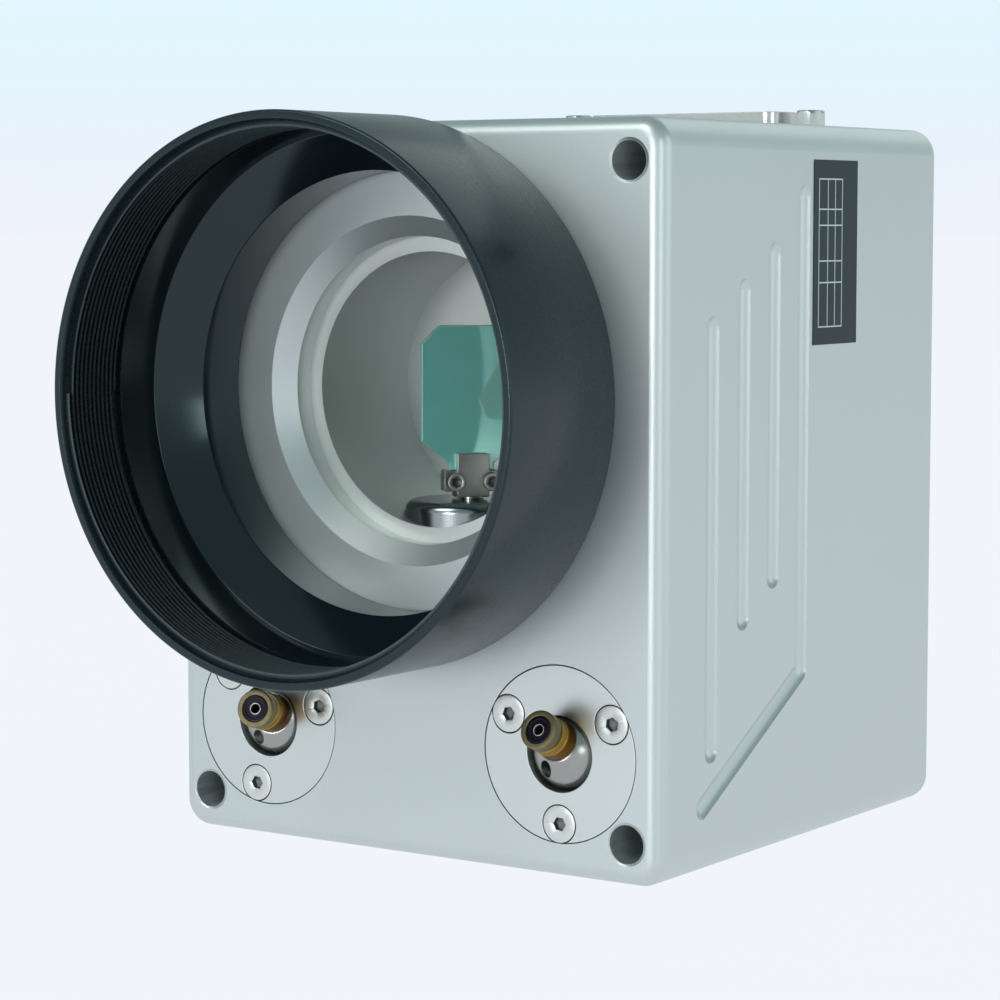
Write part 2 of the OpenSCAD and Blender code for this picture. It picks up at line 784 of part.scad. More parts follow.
module pointer_plate(s, turn) {
    x = s * pointer_x;
    color([0.80, 0.82, 0.82])
    difference() {
        bar_y(x, pointer_z, plate_d / 2, 0, plate_t - 0.02);
        bar_y(x, pointer_z, plate_bore_r, -past, plate_t + past);
        at_pointer(s) sphere(ball_r + ball_gap);
        at_pointer(s) rotate([90, 0, 0])
            cylinder(r1 = tilt_r, r2 = tilt_r + 2 * ball_depth * tan(tilt_limit), h = 2 * ball_depth);
        for (a = [30, 150, 270]) {
            hx = x + plate_screw_r * cos(a - turn);
            hz = pointer_z + plate_screw_r * sin(a - turn);
            bar_y(hx, hz, m3_r + 0.1, -past, plate_t + past);
            bar_y(hx, hz, plate_head_r + plate_gap, -past, plate_head_t);
        }
    }
}

module pointer_screws(s, turn) {
    color([0.82, 0.83, 0.82])
    for (a = [30, 150, 270]) {
        hx = s * pointer_x + plate_screw_r * cos(a - turn);
        hz = pointer_z + plate_screw_r * sin(a - turn);
        difference() {
            union() {
                bar_y(hx, hz, plate_head_r, 0, plate_head_t);
                bar_y(hx, hz, m3_r, plate_head_t, plate_t + 5.2);
            }
            translate([hx, y_at(-past), hz]) rotate([-90, 0, 0])
                cylinder(r = 1.15, h = past + 1.1, $fn = 6);
        }
    }
}

module seat_ring(s) {
    color([0.9, 0.9, 0.86])
    difference() {
        bar_y(s * pointer_x, pointer_z, ring_r, ring_back - ring_t, ring_back);
        bar_y(s * pointer_x, pointer_z, ring_bore_r, 0, front_wall);
        at_pointer(s) sphere(ball_r + ball_gap);
    }
}

module ball(s) {
    color([0.72, 0.73, 0.74])
    aim(s) difference() {
        sphere(ball_r);
        rotate([90, 0, 0]) translate([0, 0, -ball_r]) cylinder(r = barrel_r + slip, h = ball_d);
        rotate([90, s > 0 ? right_spin : left_spin, 0]) translate([0, -adjuster_reach, 0])
            cylinder(r = 1.1, h = ball_r);
    }
}

// Brass barrel: front flange, groove, ring and plain body, bored right through
module barrel(s) {
    f = reach(s);
    color([0.72, 0.52, 0.22])
    aim(s) rotate([90, 0, 0]) rotate_extrude() polygon([
        [cell_r + slip, f - barrel_len],
        [barrel_r, f - barrel_len],
        [barrel_r, f - 3.9],
        [barrel_r - 0.15, f - 3.7],
        [barrel_r - 0.15, f - 2.4],
        [barrel_r - 0.45, f - 2.3],
        [barrel_r - 0.45, f - 1.8],
        [barrel_r - 0.05, f - 1.7],
        [barrel_r - 0.05, f - 0.15],
        [barrel_r - 0.2, f],
        [cell_r + slip, f]]);
}

module lens_cell(s) {
    f = reach(s);
    color([0.05, 0.05, 0.06])
    aim(s) rotate([90, 0, 0]) difference() {
        translate([0, 0, f - 4.2]) cylinder(r = cell_r, h = 4.05);
        translate([0, 0, f - 5]) cylinder(r = 0.6, h = 6);
        translate([0, 0, f - 0.45]) cylinder(r1 = 0.6, r2 = 0.95, h = 0.35);
    }
}

module diode(s) {
    color([0.8, 0.78, 0.7])
    aim(s) rotate([90, 0, 0]) translate([0, 0, reach(s) - barrel_len]) {
        translate([0, 0, 0.8]) cylinder(r = cell_r, h = 1);
        translate([0, 0, 1.8]) cylinder(r = 1.6, h = 2.2);
    }
}

// ---------- connector ----------

// Solid D shape with round corners
module d_block(w, d, r, h) {
    lean = (d / 2 - r) * tan(shell_slope);
    linear_extrude(h) hull() {
        for (s = [-1, 1]) {
            translate([s * (w / 2 - r - lean), r - d / 2]) circle(r, $fn = 32);
            translate([s * (w / 2 - r + lean), d / 2 - r]) circle(r, $fn = 32);
        }
    }
}

module connector_shell() {
    color([0.78, 0.79, 0.8])
    translate([conn_x, conn_y, conn_top - conn_flange[2]]) difference() {
        union() {
            translate([-conn_flange[0] / 2, -conn_flange[1] / 2, 0]) cube(conn_flange);
            d_block(shell_w - 0.4, shell_d, shell_r, conn_rise + conn_flange[2]);
        }
        translate([0, 0, -past]) d_block(shell_w - 0.4 - 2 * shell_t, shell_d - 2 * shell_t,
            shell_r - shell_t, conn_rise + 3 * past);
        for (s = [-1, 1]) bar_z(s * jack_pitch / 2, 0, 1.55, -past, 2 * past);
    }
}

module connector_insulator() {
    low = conn_top - conn_flange[2];
    color([0.1, 0.1, 0.11])
    translate([conn_x, conn_y, 0]) difference() {
        union() {
            translate([0, 0, low - 4]) d_block(shell_w - 1.6, shell_d - 1.2, shell_r - 0.6, 5.2);
            translate([-20.5, -4.9, low - 4]) cube([41, 9.8, 3.9]);
        }
        connector_pin_spots() translate([0, 0, low - 6]) cylinder(r = 0.5, h = 10, $fn = 24);
    }
}

module connector_pin_spots() {
    for (i = [0:12]) translate([(i - 6) * pin_pitch, pin_row, 0]) children();
    for (i = [0:11]) translate([(i - 5.5) * pin_pitch, -pin_row, 0]) children();
}

module connector_pins() {
    low = conn_top - conn_flange[2];
    color([0.85, 0.7, 0.35])
    translate([conn_x, conn_y, 0]) connector_pin_spots() translate([0, 0, low - 6.5])
        cylinder(r = 0.5, h = 12.6, $fn = 24);
}

module jackscrews() {
    color([0.75, 0.76, 0.77])
    for (s = [-1, 1]) translate([conn_x + s * jack_pitch / 2, conn_y, body_h]) difference() {
        union() {
            intersection() {
                cylinder(r = hex_r, h = jack_h, $fn = 6);
                cylinder(r1 = hex_r + jack_h - 0.35, r2 = hex_r - 0.35, h = jack_h);
            }
            translate([0, 0, -jack_shank]) cylinder(r = 1.4, h = jack_shank);
        }
        translate([0, 0, jack_h - 3]) cylinder(r = 1.3, h = 3 + past);
    }
}

module jack_nuts() {
    color([0.7, 0.7, 0.72])
    for (s = [-1, 1]) translate([conn_x + s * jack_pitch / 2, conn_y, body_h - jack_shank])
        difference() {
            cylinder(r = hex_r, h = nut_t, $fn = 6);
            translate([0, 0, -past]) cylinder(r = 1.4 + bond, h = nut_t + 2 * past);
        }
}

module rating_label() {
    color([0.05, 0.07, 0.08])
    translate([body_w / 2, y_at(label_depth), body_h - label_drop - label_h])
        cube([0.12, label_w, label_h]);
}

// ---------- servo boards, drawn on the right wall ----------

module board_corners() {
    for (d = [post_inset, board_len - post_inset], z = [post_inset, board_h - post_inset])
        translate([0, y_at(board_depth) + d, board_z + z]) children();
}

board_x = body_w / 2 - side_wall - board_gap;

module servo_board() {
    color([0.1, 0.35, 0.2])
    difference() {
        translate([board_x - board_t, y_at(board_depth), board_z]) cube([board_t, board_len, board_h]);
        translate([board_x - board_t - past, 0, 0]) board_corners() rotate([0, 90, 0])
            cylinder(r = m3_r, h = board_t + 2 * past);
    }
}

// Posts between the wall and the board, each with its screw through the board
module board_posts() {
    color([0.75, 0.66, 0.35])
    board_corners() rotate([0, 90, 0]) {
        translate([0, 0, board_x]) cylinder(r = 2.8, h = board_gap);
        translate([0, 0, board_x - board_t]) cylinder(r = m3_r, h = board_t);
        translate([0, 0, board_x - board_t - 1.8]) cylinder(r = 2.75, h = 1.8);
    }
}

module board_parts() {
    face = board_x - board_t;
    y0 = y_at(board_depth);
    color([0.15, 0.15, 0.17]) {
        for (k = [0:3]) translate([face - 4.5, y0 + 8, board_z + 12 + 15 * k]) cube([4.5, 10, 4.6]);
        for (k = [0:2]) translate([face - 1.6, y0 + 9, board_z + 72 - 3.5 + 5 * k - 4]) cube([1.6, 8, 3.6]);
    }
    color([0.3, 0.35, 0.5])
    for (k = [0:2]) translate([face, y0 + 23, board_z + 16 + 18 * k]) rotate([0, -90, 0])
        cylinder(r = 3, h = 7.5);
}

// ---------- assembly ----------

housing();
back_cover();
cover_gasket();
cover_screws();
lens_adapter();
scanner_block();
block_screws();
motor_clamp_screws();
connector_shell();
connector_insulator();
connector_pins();
jackscrews();
jack_nuts();
rating_label();
at_x_motor() motor_body();  // x_motor_body
at_x_motor() motor_coil();  // x_motor_coil
at_x_motor() motor_bearings();  // x_motor_bearings
at_x_motor() rotor_shaft();  // x_rotor_shaft
at_x_motor() rotor_magnet();  // x_rotor_magnet
at_x_motor() sensor_cap();  // x_sensor_cap
at_x_mirror() clamp_base();  // x_clamp_base
at_x_mirror() clamp_jaw();  // x_clamp_jaw
at_x_mirror() clamp_screws();  // x_clamp_screws
x_mirror();
at_y_motor() motor_body();  // y_motor_body
at_y_motor() motor_coil();  // y_motor_coil
at_y_motor() motor_bearings();  // y_motor_bearings
at_y_motor() rotor_shaft();  // y_rotor_shaft
at_y_motor() rotor_magnet();  // y_rotor_magnet
at_y_motor() sensor_cap();  // y_sensor_cap
at_y_mirror() clamp_base();  // y_clamp_base
at_y_mirror() clamp_jaw();  // y_clamp_jaw
at_y_mirror() clamp_screws();  // y_clamp_screws
y_mirror();
pointer_plate(1, 0);  // right_plate
pointer_screws(1, 0);  // right_plate_screws
seat_ring(1);  // right_seat_ring
ball(1);  // right_ball
barrel(1);  // right_barrel
lens_cell(1);  // right_lens_cell
diode(1);  // right_diode
pointer_plate(-1, left_plate_turn);  // left_plate
pointer_screws(-1, left_plate_turn);  // left_plate_screws
seat_ring(-1);  // left_seat_ring
ball(-1);  // left_ball
barrel(-1);  // left_barrel
lens_cell(-1);  // left_lens_cell
diode(-1);  // left_diode
servo_board();  // x_servo_board
board_parts();  // x_board_parts
board_posts();  // x_board_posts
mirror([1, 0, 0]) servo_board();  // y_servo_board
mirror([1, 0, 0]) board_parts();  // y_board_parts
mirror([1, 0, 0]) board_posts();  // y_board_posts
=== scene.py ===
import json
import math

import bmesh
import bpy
from mathutils import Matrix, Vector


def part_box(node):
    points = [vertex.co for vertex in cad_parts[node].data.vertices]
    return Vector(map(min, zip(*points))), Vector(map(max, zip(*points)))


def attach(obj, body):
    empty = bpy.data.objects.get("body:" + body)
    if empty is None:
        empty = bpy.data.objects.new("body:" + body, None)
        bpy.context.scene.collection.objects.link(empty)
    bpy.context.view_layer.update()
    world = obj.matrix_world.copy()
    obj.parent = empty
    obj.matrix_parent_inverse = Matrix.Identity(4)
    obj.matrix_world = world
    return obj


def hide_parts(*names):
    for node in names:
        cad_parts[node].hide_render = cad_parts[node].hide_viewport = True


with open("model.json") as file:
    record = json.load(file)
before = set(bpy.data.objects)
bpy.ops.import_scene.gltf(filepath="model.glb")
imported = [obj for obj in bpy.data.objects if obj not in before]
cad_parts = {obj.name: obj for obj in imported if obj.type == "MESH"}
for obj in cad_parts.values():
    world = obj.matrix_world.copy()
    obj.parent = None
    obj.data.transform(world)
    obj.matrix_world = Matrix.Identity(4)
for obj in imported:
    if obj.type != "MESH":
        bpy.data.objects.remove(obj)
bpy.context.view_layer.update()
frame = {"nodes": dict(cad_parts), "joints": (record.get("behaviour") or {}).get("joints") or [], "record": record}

# Looks of a two-axis galvo scanner head: metres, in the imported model's frame.
MM = 0.001
HEAD = "head"
RECORD = frame["record"]
MOUNTS = {m["name"]: m for m in RECORD["mounts"]}
JOINTS = {j["name"]: j for j in frame["joints"]}
HOUSING_LOW, HOUSING_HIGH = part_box("housing")
FRONT = HOUSING_LOW.y
LENS = Vector(MOUNTS["lens_thread"]["pos_m"])
OUT_OF_LENS = Vector((0, -1, 0))
HOOD_LOW, HOOD_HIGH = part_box("lens_adapter")
HOOD_R = (HOOD_HIGH.x - HOOD_LOW.x) / 2 / MM
HOOD_LEN = (FRONT - HOOD_LOW.y) / MM
SPIGOT_LEN = (HOOD_HIGH.y - FRONT) / MM
THREAD_R = MOUNTS["lens_thread"]["dims"]["r_mm"]
THREAD_LEN = MOUNTS["lens_thread"]["dims"]["length_mm"]
BOLTS = MOUNTS["mounting_holes"]
BOLT_HOLE_R = 3.15 * MM
# How far behind the adapter's rim the thread's crests are painted pale as a highlight, in millimetres
THREAD_SHOWS = 13
# How far below a screw's top the painted shade inside its socket starts
SOCKET_MOUTH = 0.14 * MM
# How far each barrel's front stands out from its ball's centre, in millimetres
REACH = {"right": 11.7, "left": 13.2}
Y_AXIS = Vector(JOINTS["y_scan"]["pos_m"])
X_AXIS = Vector(JOINTS["x_scan"]["pos_m"])


# ---------- node trees ----------

class Value:
    """One socket of a node tree. Sums written with it add Math nodes to that tree."""

    def __init__(self, tree, socket):
        self.tree = tree
        self.socket = socket

    def __add__(self, other):
        return self.tree.math("ADD", self, other)

    def __radd__(self, other):
        return self.tree.math("ADD", other, self)

    def __sub__(self, other):
        return self.tree.math("SUBTRACT", self, other)

    def __rsub__(self, other):
        return self.tree.math("SUBTRACT", other, self)

    def __mul__(self, other):
        return self.tree.math("MULTIPLY", self, other)

    def __rmul__(self, other):
        return self.tree.math("MULTIPLY", other, self)

    def __truediv__(self, other):
        return self.tree.math("DIVIDE", self, other)

    def __gt__(self, other):
        return self.tree.math("GREATER_THAN", self, other)

    def __lt__(self, other):
        return self.tree.math("LESS_THAN", self, other)

    def __abs__(self):
        return self.tree.math("ABSOLUTE", self)


class Tree:
    """A shader or geometry node tree, and the one way in which nodes are added to it."""

    def __init__(self, data):
        self.data = data

    def node(self, kind, settings=None, inputs=None, output=0):
        made = self.data.nodes.new(kind)
        settings = dict(settings or {})
        stops = settings.pop("stops", None)
        for name, value in settings.items():
            setattr(made, name, value)
        if stops:
            while len(made.color_ramp.elements) < len(stops):
                made.color_ramp.elements.new(0.5)
            for element, (place, colour) in zip(made.color_ramp.elements, stops):
                element.position = place
                element.color = colour
        for key, value in (inputs or {}).items():
            if isinstance(value, Value):
                self.data.links.new(value.socket, made.inputs[key])
            else:
                made.inputs[key].default_value = value
        return Value(self, made.outputs[output]) if len(made.outputs) else None

    def math(self, operation, a, b=0.0):
        return self.node("ShaderNodeMath", {"operation": operation}, {0: a, 1: b})

    def clamp(self, value):
        return self.node("ShaderNodeClamp", None, {"Value": value})

    def mix(self, factor, a, b):
        """Colour a where factor is 0, colour b where it is 1."""
        return self.node("ShaderNodeMix", {"data_type": "RGBA"}, {0: factor, 6: a, 7: b}, 2)

    def smooth(self, value, low, high):
        """0 below low, 1 above high, and a soft step between."""
        return self.node("ShaderNodeMapRange", {"interpolation_type": "SMOOTHSTEP"},
                         {"Value": value, "From Min": low, "From Max": high})


def rgba(red, green, blue):
    return (red, green, blue, 1.0)


def shade(colour, share):
    """A colour made darker or lighter by a share, and never past white."""
    return rgba(*(min(1.0, share * c) for c in colour))


def new_object(name, data):
    """An object of the scene, at the origin."""
    made = bpy.data.objects.new(name, data)
    bpy.context.scene.collection.objects.link(made)
    return made


class Surface(Tree):
    """A procedural material on Object coordinates, which are the frame's metres."""

    def __init__(self, name):
        self.material = bpy.data.materials.new(name)
        self.material.use_nodes = True
        self.material.node_tree.nodes.clear()
        super().__init__(self.material.node_tree)
        self.place = self.node("ShaderNodeTexCoord", output="Object")
        self.x, self.y, self.z = (
            self.node("ShaderNodeSeparateXYZ", None, {0: self.place}, axis) for axis in "XYZ")

    def stretched(self, scale):
        """Coordinates stretched along each axis, for brushed and turned lines."""
        return self.node("ShaderNodeVectorMath", {"operation": "MULTIPLY"},
                         {0: self.place, 1: scale})

    def noise(self, size, detail=2.0, rough=0.5, place=None):
        """Soft noise from 0 to 1, whose patches are about size metres across."""
        return self.node("ShaderNodeTexNoise", None, {
            "Vector": place or self.place, "Scale": 1 / size, "Detail": detail, "Roughness": rough})

    def radius(self, centre, across=("x", "z")):
        """Distance from an axis through centre, for turned parts."""
        a, b = (getattr(self, k) - getattr(centre, k) for k in across)
        return self.math("SQRT", a * a + b * b)

    def along(self, axis, place=None):
        """How far a place is along an axis from the origin."""
        return self.node("ShaderNodeVectorMath", {"operation": "DOT_PRODUCT"},
                         {0: place or self.place, 1: axis}, "Value")

    def facing(self, direction, least):
        """1 where the piece's own normal is near direction, and 0 elsewhere."""
        return self.along(direction, self.node("ShaderNodeTexCoord", output="Normal")) > least

    def bump(self, height, distance, strength=1.0):
        return self.node("ShaderNodeBump", None,
                         {"Height": height, "Distance": distance, "Strength": strength}, "Normal")

    def finish(self, **looks):
        names = {"colour": "Base Color", "rough": "Roughness", "metal": "Metallic",
                 "normal": "Normal", "coat": "Coat Weight", "ior": "IOR",
                 "shine_tint": "Specular Tint"}
        shader = self.node("ShaderNodeBsdfPrincipled", None,
                           {names[key]: value for key, value in looks.items()})
        self.node("ShaderNodeOutputMaterial", None, {"Surface": shader})
        return self.material


# ---------- finishes ----------

def blasted_aluminium(name, colour, rough=0.4, grain=0.16 * MM, depth=0.006 * MM):
    """Bead-blasted, clear anodised: even fine grain with faint clouds."""
    s = Surface(name)
    speck = s.noise(grain, 2.0, 0.6)
    cloud = s.noise(22 * MM, 3.0)
    tone = s.clamp(0.5 + (speck - 0.5) * 0.8 + (cloud - 0.5) * 0.35)
    return s.finish(colour=s.mix(tone, shade(colour, 0.93), shade(colour, 1.05)), metal=1.0,
                    rough=rough + (speck - 0.5) * 0.10 + (cloud - 0.5) * 0.06,
                    normal=s.bump(speck, depth, 0.6))


def blasted_housing(name, colour):
    """The blasted, anodised case. Its four long bores are drilled, so they stay duller."""
    s = Surface(name)
    speck = s.noise(0.15 * MM, 2.0, 0.6)
    cloud = s.noise(24 * MM, 3.0)
    hole_x, hole_z = (BOLTS["dims"]["spacing_" + k + "_mm"] / 2 * MM for k in "xy")
    middle = BOLTS["pos_m"]
    across = abs(s.x - middle[0]) - hole_x
    along = abs(s.z - middle[2]) - hole_z
    from_hole = s.math("SQRT", across * across + along * along)
    bore = from_hole < BOLT_HOLE_R
    broken_edge = s.smooth(from_hole, BOLT_HOLE_R - 0.1 * MM, BOLT_HOLE_R + 0.35 * MM)
    tone = s.clamp(0.5 + (speck - 0.5) * 0.9 + (cloud - 0.5) * 0.3)
    skin = s.mix(tone, shade(colour, 0.92), shade(colour, 1.06))
    bands = s.noise(1.0, 1.0, 0.5, s.stretched((900, 60, 900)))
    drilled = s.mix(s.clamp((bands - 0.3) * 2.0), rgba(0.40, 0.44, 0.44), rgba(0.60, 0.65, 0.65))
    return s.finish(colour=s.mix(bore, skin, drilled), metal=0.82 - bore * 0.4,
                    rough=0.40 + (speck - 0.5) * 0.12 + (cloud - 0.5) * 0.05 - bore * 0.05,
                    normal=s.bump(speck * 0.02 + broken_edge, 0.25 * MM, 0.9))


def socket_screw_steel(name, colour, axis, top):
    """Plated screws: light flat heads, and painted shade in their sockets below SOCKET_MOUTH. Top is on the heads.
    """
    s = Surface(name)
    cloud = s.noise(1.2 * MM, 3.0)
    fine = s.noise(0.12 * MM, 2.0)
    head = s.along(axis) > Vector(axis).dot(top) - SOCKET_MOUTH
    plated = s.mix(cloud, shade(colour, 0.88), rgba(*colour))
    # Below the socket's mouth the colour drops to a third: painted shade in the recess.
    return s.finish(colour=s.mix(head, shade(colour, 0.32), plated), metal=0.9,
                    rough=0.56 - head * 0.18 + (fine - 0.5) * 0.08,
                    normal=s.bump(fine, 0.002 * MM, 0.5))


def machined_aluminium(name, colour, rough=0.32):
    """Milled faces: faint tool lines over a bright metal."""
    s = Surface(name)
    lines = s.noise(1.0, 2.0, 0.6, s.stretched((400, 5200, 900)))
    cloud = s.noise(9 * MM, 2.0)
    tone = s.clamp(0.5 + (lines - 0.5) * 0.5 + (cloud - 0.5) * 0.4)
    return s.finish(colour=s.mix(tone, shade(colour, 0.90), rgba(*colour)), metal=1.0,
                    rough=rough + (lines - 0.5) * 0.16, normal=s.bump(lines, 0.002 * MM, 0.5))


def brushed_sheet(name, colour):
    """Rolled sheet with long brush lines along X."""
    s = Surface(name)
    lines = s.noise(1.0, 3.0, 0.7, s.stretched((25, 3000, 3600)))
    cloud = s.noise(18 * MM, 2.0)
    tone = s.clamp(0.5 + (lines - 0.5) * 0.9 + (cloud - 0.5) * 0.3)
    return s.finish(colour=s.mix(tone, shade(colour, 0.88), rgba(*colour)), metal=1.0,
                    rough=0.36 + (lines - 0.5) * 0.2, normal=s.bump(lines, 0.003 * MM, 0.5))


def turned_metal(name, colour, centre, across, along, rough=0.2, line=0.09 * MM):
    """Turned on a lathe: fine rings round an axis, on its faces and along its length."""
    s = Surface(name)
    rings = s.noise(line, 2.0, 0.6, s.node("ShaderNodeCombineXYZ", None, {
        0: s.radius(centre, across), 1: getattr(s, along)}))
    cloud = s.noise(4 * MM, 2.0)
    tone = s.clamp(0.5 + (rings - 0.5) * 0.7 + (cloud - 0.5) * 0.6)
    return s.finish(colour=s.mix(tone, shade(colour, 0.86), rgba(*colour)), metal=1.0,
                    rough=rough + (rings - 0.5) * 0.14, normal=s.bump(rings, 0.002 * MM, 0.5))


def plain_metal(name, colour, rough=0.25, cloud_size=2.5 * MM, depth=0.0015 * MM):
    """Plated or ground small metal, with clouds in its tone and shine."""
    s = Surface(name)
    cloud = s.noise(cloud_size, 3.0)
    fine = s.noise(0.12 * MM, 2.0)
    return s.finish(colour=s.mix(cloud, shade(colour, 0.85), rgba(*colour)), metal=1.0,
                    rough=rough + (cloud - 0.5) * 0.12 + (fine - 0.5) * 0.06,
                    normal=s.bump(fine, depth, 0.5))


def moulded(name, colour, rough=0.45, grain=0.2 * MM, spread=0.25, shine_tint=(1.0, 1.0, 1.0)):
    """Moulded plastic or rubber with a fine eroded texture."""
    s = Surface(name)
    grit = s.noise(grain, 3.0, 0.6)
    cloud = s.noise(7 * MM, 2.0)
    tone = s.clamp(0.5 + (grit - 0.5) * 0.5 + (cloud - 0.5) * 0.5)
    return s.finish(colour=s.mix(tone, shade(colour, 1 - spread), shade(colour, 1 + spread)),
                    rough=rough + (grit - 0.5) * 0.12, shine_tint=rgba(*shine_tint),
                    normal=s.bump(grit, 0.004 * MM, 0.5))


def black_anodised(name):
    """The lens adapter: satin turned outside, glossier cone and throat inside."""
    s = Surface(name)
    radius = s.radius(LENS)
    rings = s.noise(0.07 * MM, 2.0, 0.6, s.node("ShaderNodeCombineXYZ", None, {0: radius, 1: s.y}))
    dust = s.noise(0.35 * MM, 2.0, 0.7)
    glossy_from, glossy_to = FRONT - 14.6 * MM, FRONT - 14.2 * MM
    inside = s.smooth(s.y, glossy_from, glossy_to) * (radius < (THREAD_R - 0.1) * MM)
    rough = 0.27 + (rings - 0.5) * 0.10 + (dust - 0.5) * 0.05 - inside * 0.13
    # Pale crests near the rim: a painted highlight standing in for light caught on the thread.
    painted_crest_highlight = (radius < (THREAD_R - 0.36) * MM) * (s.y < FRONT - (HOOD_LEN - THREAD_SHOWS) * MM)
    tone = s.clamp(0.5 + (rings - 0.5) * 0.8)
    dark = s.mix(tone, rgba(0.004, 0.008, 0.011), rgba(0.009, 0.016, 0.020))
    return s.finish(colour=s.mix(painted_crest_highlight, dark, rgba(0.055, 0.070, 0.075)), rough=rough, ior=1.5,
                    shine_tint=rgba(0.72, 0.96, 1.0), normal=s.bump(rings, 0.0015 * MM, 0.5))


def coated_mirror(name, front, back, shine, direction):
    """Laser mirror: a clear reflecting coat over a tinted blank, with ground edges and back."""
    s = Surface(name)
    coat = s.facing(direction, 0.9)
    haze = s.noise(5 * MM, 2.0)
    colour = s.mix(coat, rgba(*back), s.mix(haze, rgba(*front), shade(front, 0.9)))
    return s.finish(colour=colour, metal=coat * 0.3, rough=0.5 - coat * 0.44 + (haze - 0.5) * 0.02,
                    ior=2.6, shine_tint=rgba(*shine))


def pointer_brass(name, joint, reach):
    """Turned brass: a pale flange and a golden neck at the front, browner with heat behind."""
    s = Surface(name)
    from_ball = s.node("ShaderNodeVectorMath", {"operation": "SUBTRACT"},
                       {0: s.place, 1: joint["pos_m"]})
    ahead = s.along(joint["axis"], from_ball)
    rings = s.noise(1.0, 2.0, 0.6, s.node("ShaderNodeCombineXYZ", None, {0: ahead * 9000.0}))
    cloud = s.noise(1.5 * MM, 2.0)
    flange = s.smooth(ahead, (reach - 2.15) * MM, (reach - 2.05) * MM)
    neck = s.smooth(ahead, (reach - 4.6) * MM, (reach - 3.3) * MM)
    body = s.mix(neck, rgba(0.25, 0.115, 0.018), rgba(0.42, 0.25, 0.045))
    colour = s.mix(flange, body, s.mix(cloud, rgba(0.175, 0.145, 0.075), rgba(0.25, 0.215, 0.115)))
    return s.finish(colour=colour, metal=0.85, rough=0.36 + (rings - 0.5) * 0.16 + flange * 0.10,
                    normal=s.bump(rings, 0.004 * MM, 0.5))


def printed_label(name, low, high):
    """Black vinyl with a ruled white table and nothing written in it."""
    s = Surface(name)
    line = 0.11 * MM

    def near(value, target):
        return abs(value - target) < line

    def between(value, a, b):
        return (value > a) * (value < b)

    left, right = low.y + 1.7 * MM, low.y + 9.6 * MM
    bottom, top = low.z + 2.9 * MM, high.z - 3.1 * MM
    rows = [bottom + up * MM for up in (0, 7.2, 10.7, 16.5, 19.1)] + [top]
    columns = [left + across * MM for across in (0, 3.0, 5.5)] + [right]
    ink = 0
    for row in rows:
        ink = near(s.z, row) * between(s.y, left - line, right + line) + ink
    for column in columns:
        ink = near(s.y, column) * between(s.z, bottom - line, top + line) + ink
    front = s.x > high.x - 0.03 * MM
    grit = s.noise(0.25 * MM, 2.0)
    vinyl = s.mix(grit, rgba(0.010, 0.018, 0.021), rgba(0.016, 0.027, 0.031))
    return s.finish(colour=s.mix(s.clamp(ink) * front, vinyl, rgba(0.72, 0.78, 0.78)),
                    rough=0.5 + (grit - 0.5) * 0.08, shine_tint=rgba(0.55, 0.80, 0.88),
                    normal=s.bump(grit, 0.002 * MM, 0.4))


def circuit_board(name):
    """Green solder mask over faint copper tracks."""
    s = Surface(name)
    tracks = s.noise(1.0, 0.0, 0.5, s.stretched((0, 420, 90)))
    copper = s.smooth(abs(tracks - 0.5), 0.05, 0.02)
    weave = s.noise(0.3 * MM, 2.0)
    mask = s.mix(copper, rgba(0.006, 0.045, 0.018), rgba(0.015, 0.10, 0.035))
    return s.finish(colour=mask, rough=0.28 + (weave - 0.5) * 0.1, coat=0.4,
                    normal=s.bump(copper + weave * 0.2, 0.02 * MM, 0.4))


def wound_copper(name):
    """Varnished winding: close copper turns."""
    s = Surface(name)
    wire = s.noise(1.0, 1.0, 0.5, s.stretched((2600, 2600, 2600)))
    return s.finish(colour=s.mix(wire, rgba(0.30, 0.10, 0.03), rgba(0.52, 0.22, 0.08)), metal=0.8,
                    rough=0.35, normal=s.bump(wire, 0.05 * MM, 0.6))


Y_MIRROR_FACING = (math.sqrt(0.5), -math.sqrt(0.5), 0)
X_MIRROR_FACING = (-math.sqrt(0.5), 0, math.sqrt(0.5))

